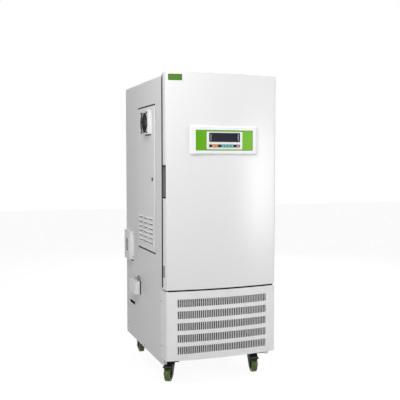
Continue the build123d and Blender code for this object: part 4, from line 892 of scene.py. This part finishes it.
# %% Shade tape on the grille panel
tape = plate(0.576, 0.016, 0.003, 0.002, 0)
for step in range(-13, 14):
    cut_at(tape, step * 0.021)
placed(tape, (0, 0, panel_top + 0.0001))
on_bow(tape, 0.011)
piece("panel_gap_shade_tape", tape, "cabinet", gasket_rubber)

# %% [markdown]
# A castor wheel has a polyurethane tyre cast round a moulded hub. The tyre's profile has two
# fine grooves and rounded shoulders. It is spun round the axle, and the hub gets six ribs.

# %% Castor wheels
def lathe(points, steps=56):
    """A closed profile of (radius, height) points, spun about local Z."""
    bm = bmesh.new()
    verts = [bm.verts.new((radius, 0, height)) for radius, height in points]
    edges = [bm.edges.new(pair) for pair in zip(verts, verts[1:] + verts[:1])]
    full_turn = {"cent": (0, 0, 0), "axis": (0, 0, 1), "angle": 2 * pi}
    bmesh.ops.spin(bm, geom=[*verts, *edges], steps=steps, use_merge=True, **full_turn)
    bmesh.ops.remove_doubles(bm, verts=bm.verts, dist=1e-6)
    return bm


def mirrored_profile(half):
    """Add the mirror image of half a profile, which runs from the rim's middle to one side."""
    return half + [(radius, -height) for radius, height in reversed(half)]


tyre_half = [
    (0.0375, 0.0001),
    (0.0375, 0.0040),
    (0.0354, 0.0048),
    (0.0354, 0.0064),
    (0.0375, 0.0072),
    (0.0373, 0.0105),
    (0.0362, 0.0138),
    (0.0338, 0.0155),
    (0.0255, 0.0152),
    (0.0250, 0.0142),
]
hub_half = [
    (0.0250, 0.0001),
    (0.0250, 0.0138),
    (0.0238, 0.0146),
    (0.0222, 0.0138),
    (0.0215, 0.0108),
    (0.0135, 0.0104),
    (0.0125, 0.0150),
    (0.0085, 0.0158),
    (0.0060, 0.0156),
    (0.0060, 0.0001),
]
# The pin's x and y, and the heading in degrees.
castors = {
    "front_left": (-0.235, -0.244, 32),
    "front_right": (0.235, -0.244, 10),
    "rear_left": (-0.235, 0.337, 8),
    "rear_right": (0.235, 0.337, 20),
}
hub_black = moulded("hub_moulding", (0.02, 0.02, 0.02), 0.45)


def wheel_axle(name):
    """The middle of a castor's wheel and the direction of its axle."""
    turn = radians(castors[name][2])
    corners = zip(*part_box("castor_wheel_" + name))
    middle = Vector([(low + high) / 2 for low, high in corners])
    return middle, Vector((cos(turn), -sin(turn), 0))


for name in castors:
    middle, axle = wheel_axle(name)
    body = "castor_wheel_" + name
    tyre = placed(lathe(mirrored_profile(tyre_half)), middle, axle)
    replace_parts(piece("tyre_" + name, tyre, body, wheel_green), body)
    shapes = [lathe(mirrored_profile(hub_half), 40)]
    for spoke in range(6):
        rib = plate(0.0022, 0.0090, 0.0270, 0.0004, 0)
        bmesh.ops.translate(rib, verts=rib.verts, vec=(0, 0.0175, -0.0135))
        bmesh.ops.rotate(rib, verts=rib.verts, matrix=Matrix.Rotation(pi / 3 * spoke, 3, "Z"))
        shapes.append(rib)
    hub = placed(joined(shapes), middle, axle)
    piece("wheel_hub_" + name, hub, body, hub_black)

# %% [markdown]
# Bolts hold the castors' plates under the base. A hexagon head is a six sided disc whose top
# edges are bevelled, and a washer lies under it. The nuts on the axles have the same shape.

# %% Bolts
def hex_bolt(width, height):
    """A hexagon head on a washer, standing on the XY plane."""
    radius = width / 2 / cos(pi / 6)
    head = disc(6, radius, height)
    bmesh.ops.translate(head, verts=head.verts, vec=(0, 0, height / 2 + 0.0008))
    soften(head, list(highest(head).edges), height * 0.14, 1)
    return joined([head, ring(radius * 1.3, radius * 0.6, 0.0008, 18)])


down = (0, 0, -1)
bolt_offset, plate_z = 0.029, 0.104
fork_half = 0.0221
for name, (x, y, heading) in castors.items():
    bolts = []
    for bolt_x in (x - bolt_offset, x + bolt_offset):
        for bolt_y in (y - bolt_offset, y + bolt_offset):
            bolt = hex_bolt(0.008, 0.0032)
            bolts.append(placed(bolt, (bolt_x, bolt_y, plate_z), down, back))
    piece("plate_bolts_" + name, joined(bolts), "cabinet", screw_steel)
    middle, axle = wheel_axle(name)
    nuts = []
    for side in (-1, 1):
        nuts.append(placed(hex_bolt(0.010, 0.004), middle + axle * side * fork_half, axle * side))
    piece("axle_nuts_" + name, joined(nuts), "castor_fork_" + name, screw_steel)

# %% [markdown]
# A castor's pedal is moulded with two grip ribs across it, so a shoe doesn't slide off. They
# follow the slope of its front face, and their grey is painted highlight on the black pedal.

# %% Pedal ribs
rib_highlight_grey = moulded("pedal_rib", (0.30, 0.30, 0.305), 0.4, gloss=0.35)
pedal_front = 0.0535
pedal_slope = 0.372
pedal_front_z = 0.0786
for name in ("front_left", "front_right"):
    x, y, heading = castors[name]
    turn = radians(heading)
    ahead = Vector((-sin(turn), -cos(turn), 0))
    ribs = []
    for setback in (0.0035, 0.0110):
        foot = Vector((x, y, pedal_front_z + pedal_slope * setback))
        foot += ahead * (pedal_front - setback)
        outward = ahead * pedal_slope + Vector((0, 0, 1))
        rib = plate(0.043, 0.0034, 0.0014, 0.0008)
        ribs.append(placed(rib, foot, outward, -ahead))
    piece("pedal_ribs_" + name, joined(ribs), "brake_pedal_" + name, rib_highlight_grey)

# %% [markdown]
# The base frame's two runners end 18.5 mm further back on the real cabinet than in the solid,
# where they would show below the panel. So this copy has their front ends moved back.

# %% Base frame runners
runner_shift = 0.0185
frame_copy = bmesh.new()
frame_copy.from_mesh(nodes["base_frame"].data)
ends = [v for v in frame_copy.verts if v.co.z < 0.1095 and v.co.y < -0.305]
for vert in ends:
    vert.co.y += runner_shift
print("runner corners moved:", len(ends))
runners = piece("base_frame_runners", frame_copy, "cabinet", base_paint_and_shade)
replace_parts(runners, "base_frame")

# %% [markdown]
# The cable gland on the mains inlet is a ribbed grey nut. Rings give its ribs.

# %% Cable gland
gland_x, gland_y = -0.308, 0.108
ribs = []
for level in (0.4705, 0.4750, 0.4795, 0.4840):
    rib = ring(0.0083, 0.0060, 0.0022, 24)
    ribs.append(placed(rib, (gland_x, gland_y, level)))
piece("gland_ribs", joined(ribs), "cabinet", grey_plastic)

# %% [markdown]
# Above and below each lamp cover, a thin black strip with rounded corners is painted shade: it
# makes the dark lines of the gaps that show where the cover ends.

# %% Painted shade at the cover edges
cover_y = (-0.205, 0.122)
cover_z = (0.664, 1.424)
gap_shade_length = cover_y[1] - cover_y[0] + 0.004
gap_shade_offset = 0.0061
for side, name in sides:
    strips = []
    for level in (cover_z[0] - gap_shade_offset, cover_z[1] + gap_shade_offset):
        strip = plate(gap_shade_length, 0.0042, 0.0012, 0.0004, 0)
        strips.append(placed(strip, (side * wall_x, sum(cover_y) / 2, level), (side, 0, 0)))
    piece("cover_gap_shade_" + name, joined(strips), "cabinet", gasket_rubber)

# %% [markdown]
# The exhaust fan's finger guard is a set of wire rings welded to legs. The solid has the outer
# ring and the legs, so the inner rings are spun here from a small round profile, in that plane.
# A blank round label closes the rotor's hub.

# %% Finger guards and hub labels
fan_centre = (-0.092, 1.3405)
guard_x = 0.3314
label_x = 0.3174
wire = 0.0011
guard_wire_finish = moulded("guard_wire", (0.012, 0.012, 0.013), 0.4, gloss=0.3)
label_film = moulded("label_film", (0.42, 0.42, 0.43), 0.4, 1500, 0.00001)


def wire_ring(radius):
    """A ring of round wire in the XY plane."""
    corners = [pi / 4 * step for step in range(8)]
    return lathe([(radius + wire * cos(a), wire * sin(a)) for a in corners], 40)


for side, name in sides:
    body, outward = "lamp_cover_" + name, (side, 0, 0)
    rings = []
    for radius in (0.010, 0.0185, 0.027, 0.0355, 0.044):
        rings.append(placed(wire_ring(radius), (side * guard_x, *fan_centre), outward))
    piece("guard_rings_" + name, joined(rings), body, guard_wire_finish)
    label = placed(ring(0.0155, 0.0012, 0.0003), (side * label_x, *fan_centre), outward)
    piece("hub_label_" + name, label, "exhaust_rotor_" + name, label_film)

# %% [markdown]
# Two screws hold the upper hinge plate in its pocket in the roof.

# %% Hinge screws
hinge_screws = [(0.275, -0.297, roof_z), (0.275, -0.275, roof_z)]
screws("hinge_screws", "cabinet", screw_steel, (0, 0, 1), hinge_screws, 0.0032)

# %% [markdown]
# A louvre is sheared and pressed in one stroke, and a dark line of shade lies under its hood. Each
# line is painted shadow: a thin black strip on the cover, just below a hood's lip.

# %% Louvre shadows
cover_face_x = 0.3035
louvre_columns_y = (-0.136, -0.039, 0.058)
louvre_pitch = 0.0248
lowest_shadow_z = cover_z[0] + 0.046 - 0.0027
for side, name in sides:
    louvre_shadows = []
    for row in range(6):
        for y in louvre_columns_y:
            louvre_shadow = plate(0.070, 0.0052, 0.0003, 0.0014, 0)
            place = (side * cover_face_x, y, lowest_shadow_z + row * louvre_pitch)
            louvre_shadows.append(placed(louvre_shadow, place, (side, 0, 0)))
    body = "lamp_cover_" + name
    piece("louvre_shadows_" + name, joined(louvre_shadows), body, gasket_rubber)

# %% [markdown]
# The breaker looks through a slot in its box, and a black escutcheon with a slim border frames it.

# %% Breaker escutcheon
breaker_face = (-0.3210, 0.3155, 0.649)
escutcheon = frame_ring(0.0225, 0.0700, 0.0055, 0.0005, 0.0015)
placed(escutcheon, breaker_face, left)
piece("breaker_escutcheon", escutcheon, "cabinet", gasket_rubber)

# %% [markdown]
# A short dark line of shadow lies under the fan boxes and the breaker box. It is painted shadow,
# and a flat black strip is enough for it.

# %% Painted shadow lines
for side, name in sides:
    lo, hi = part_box("exhaust_fan_" + name)
    strip = plate(hi[1] - lo[1] - 0.012, 0.0070, 0.0008, 0.0030, 0)
    place = (side * cover_face_x, (lo[1] + hi[1]) / 2, lo[2] - 0.0037)
    placed(strip, place, (side, 0, 0))
    piece("fan_shadow_strip_" + name, strip, "lamp_cover_" + name, gasket_rubber)
lo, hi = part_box("breaker_box")
strip = plate(hi[1] - lo[1] - 0.014, 0.0080, 0.0008, 0.0035, 0)
placed(strip, (-wall_x, (lo[1] + hi[1]) / 2, lo[2] - 0.0042), left)
piece("breaker_shadow_strip", strip, "cabinet", gasket_rubber)

# %% [markdown]
# A black mat lies inside the back panel, behind its vent slots. It is painted shade, so nobody can
# look through the cabinet from the front.

# %% Rear shade mat
mat_place = (0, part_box("back_panel")[0][1] - 0.0004, 0.315)
shade_mat = placed(plate(0.520, 0.270, 0.0020, 0.006), mat_place, front)
piece("rear_shade_mat", shade_mat, "cabinet", gasket_rubber)

# %% [markdown]
# The lower panel is one bowed sheet with five rows of slits. In the photograph the slits read
# wider than the webs between them, so this sheet replaces the plain solid. It starts as one flat
# face, planes cut it along every slit edge, the slit faces are deleted, the sheet is wrapped round
# the bow and its corners, its rims are folded back, and solidify gives the gauge.

# %% Grille sheet
sheet_gauge = 0.0015
panel_corner = 0.014
panel_rear_y = panel_high[1]
rim_rear_y = chord_y + 0.020
slit_pitch, slit_half = 0.00992, 0.00315
row_pitch, row_half = 0.0594, 0.01915
slit_mid_z = (panel_bottom + panel_top) / 2 - 0.0035
fillet_x = panel_half - panel_corner
fillet_y = bow_centre_y - sqrt((bow_radius - panel_corner) ** 2 - fillet_x**2)
bow_angle = asin(fillet_x / (bow_radius - panel_corner))
bow_half = bow_radius * bow_angle
corner_run = panel_corner * (pi / 2 - bow_angle)
rim_half = bow_half + corner_run
outline_half = rim_half + (panel_rear_y - fillet_y)


def wrapped(run):
    """The x and y of a point that lies this far along the panel's outline from its middle."""
    side = 1 if run > 0 else -1
    run = abs(run)
    if run <= bow_half:
        angle = run / bow_radius
        return side * bow_radius * sin(angle), bow_centre_y - bow_radius * cos(angle)
    if run <= rim_half:
        angle = bow_angle + (run - bow_half) / panel_corner
        return side * (fillet_x + panel_corner * sin(angle)), fillet_y - panel_corner * cos(angle)
    return side * panel_half, fillet_y + run - rim_half


def grille_sheet():
    bm = bmesh.new()
    bmesh.ops.create_grid(bm, x_segments=1, y_segments=1, size=0.5)
    bmesh.ops.scale(bm, vec=(2 * outline_half, panel_top - panel_bottom, 1), verts=bm.verts)
    bmesh.ops.translate(bm, verts=bm.verts, vec=(0, (panel_top + panel_bottom) / 2, 0))
    columns = [bow_radius * asin(step * slit_pitch / bow_radius) for step in range(-24, 25)]
    rows = [slit_mid_z + step * row_pitch for step in range(-2, 3)]
    upright = [run + edge for run in columns for edge in (-slit_half, slit_half)]
    for side in (-1, 1):
        upright += [side * (bow_half + corner_run * step / 6) for step in range(7)]
        upright += [side * run for run in (0.252, 0.262, 0.272)]
    level = [z + edge for z in rows for edge in (-row_half, row_half)]
    for place in upright:
        cut_at(bm, place)
    for place in level:
        cut_at(bm, place, (0, 1, 0))
    slits = []
    for face in bm.faces:
        centre = face.calc_center_median()
        in_row = any(abs(centre.y - z) < row_half for z in rows)
        if in_row and any(abs(centre.x - run) < slit_half for run in columns):
            slits.append(face)
    bmesh.ops.delete(bm, geom=slits, context="FACES")
    rims = []
    for edge in bm.edges:
        ends = [vert.co for vert in edge.verts]
        at_rim = all(min(abs(co.y - panel_bottom), abs(co.y - panel_top)) < 1e-6 for co in ends)
        if at_rim and all(abs(co.x) < rim_half + 1e-5 for co in ends):
            rims.append(edge)
    folded = bmesh.ops.extrude_edge_only(bm, edges=rims)
    returns = {v for v in folded["geom"] if isinstance(v, bmesh.types.BMVert)}
    for vert in bm.verts:
        x, y = wrapped(vert.co.x)
        vert.co = (x, rim_rear_y if vert in returns else y, vert.co.y)
    bmesh.ops.recalc_face_normals(bm, faces=bm.faces)
    middle = min(bm.faces, key=lambda face: face.calc_center_median().y)
    if middle.normal.y > 0:
        bmesh.ops.reverse_faces(bm, faces=bm.faces)
    bmesh.ops.solidify(bm, geom=bm.faces[:], thickness=sheet_gauge)
    return bm


sheet = grille_sheet()
spans = [[round(f(v.co[axis] for v in sheet.verts), 4) for f in (min, max)] for axis in range(3)]
print("grille sheet spans:", spans, "faces:", len(sheet.faces))
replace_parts(piece("grille_sheet", sheet, "cabinet", panel_paint_and_shade), "grille_panel")

# %% [markdown]
# The floor belongs to the studio. The camera, mirrors and glass see it mostly as white, and
# what is left of its grey surface holds a soft shadow under the castors.

# %% Floor
def studio_floor():
    """A white floor that keeps the cabinet's shadow."""
    finish = Finish("studio_floor", (0.5, 0.5, 0.5), 0.9)
    paths = finish.add("ShaderNodeLightPath")
    glow = finish.add("ShaderNodeEmission", Color=(1, 1, 1), Strength=1.2)
    mixer = finish.add("ShaderNodeMixShader")
    finish.tree.links.new(finish.shader.outputs[0], mixer.inputs[1])
    finish.tree.links.new(glow.outputs[0], mixer.inputs[2])
    rays = [Signal(finish, paths.outputs[ray]) for ray in seeing_rays]
    finish.plug(mixer.inputs[0], (rays[0] + rays[1] + rays[2]) * 0.78)
    output = [n for n in finish.tree.nodes if n.type == "OUTPUT_MATERIAL"][0]
    finish.tree.links.new(mixer.outputs[0], output.inputs[0])
    bm = bmesh.new()
    bmesh.ops.create_grid(bm, x_segments=1, y_segments=1, size=12)
    mesh = bpy.data.meshes.new("studio_floor")
    bm.to_mesh(mesh)
    bm.free()
    mesh.materials.append(finish.material)
    floor = bpy.data.objects.new("studio_floor", mesh)
    bpy.context.scene.collection.objects.link(floor)


studio_floor()
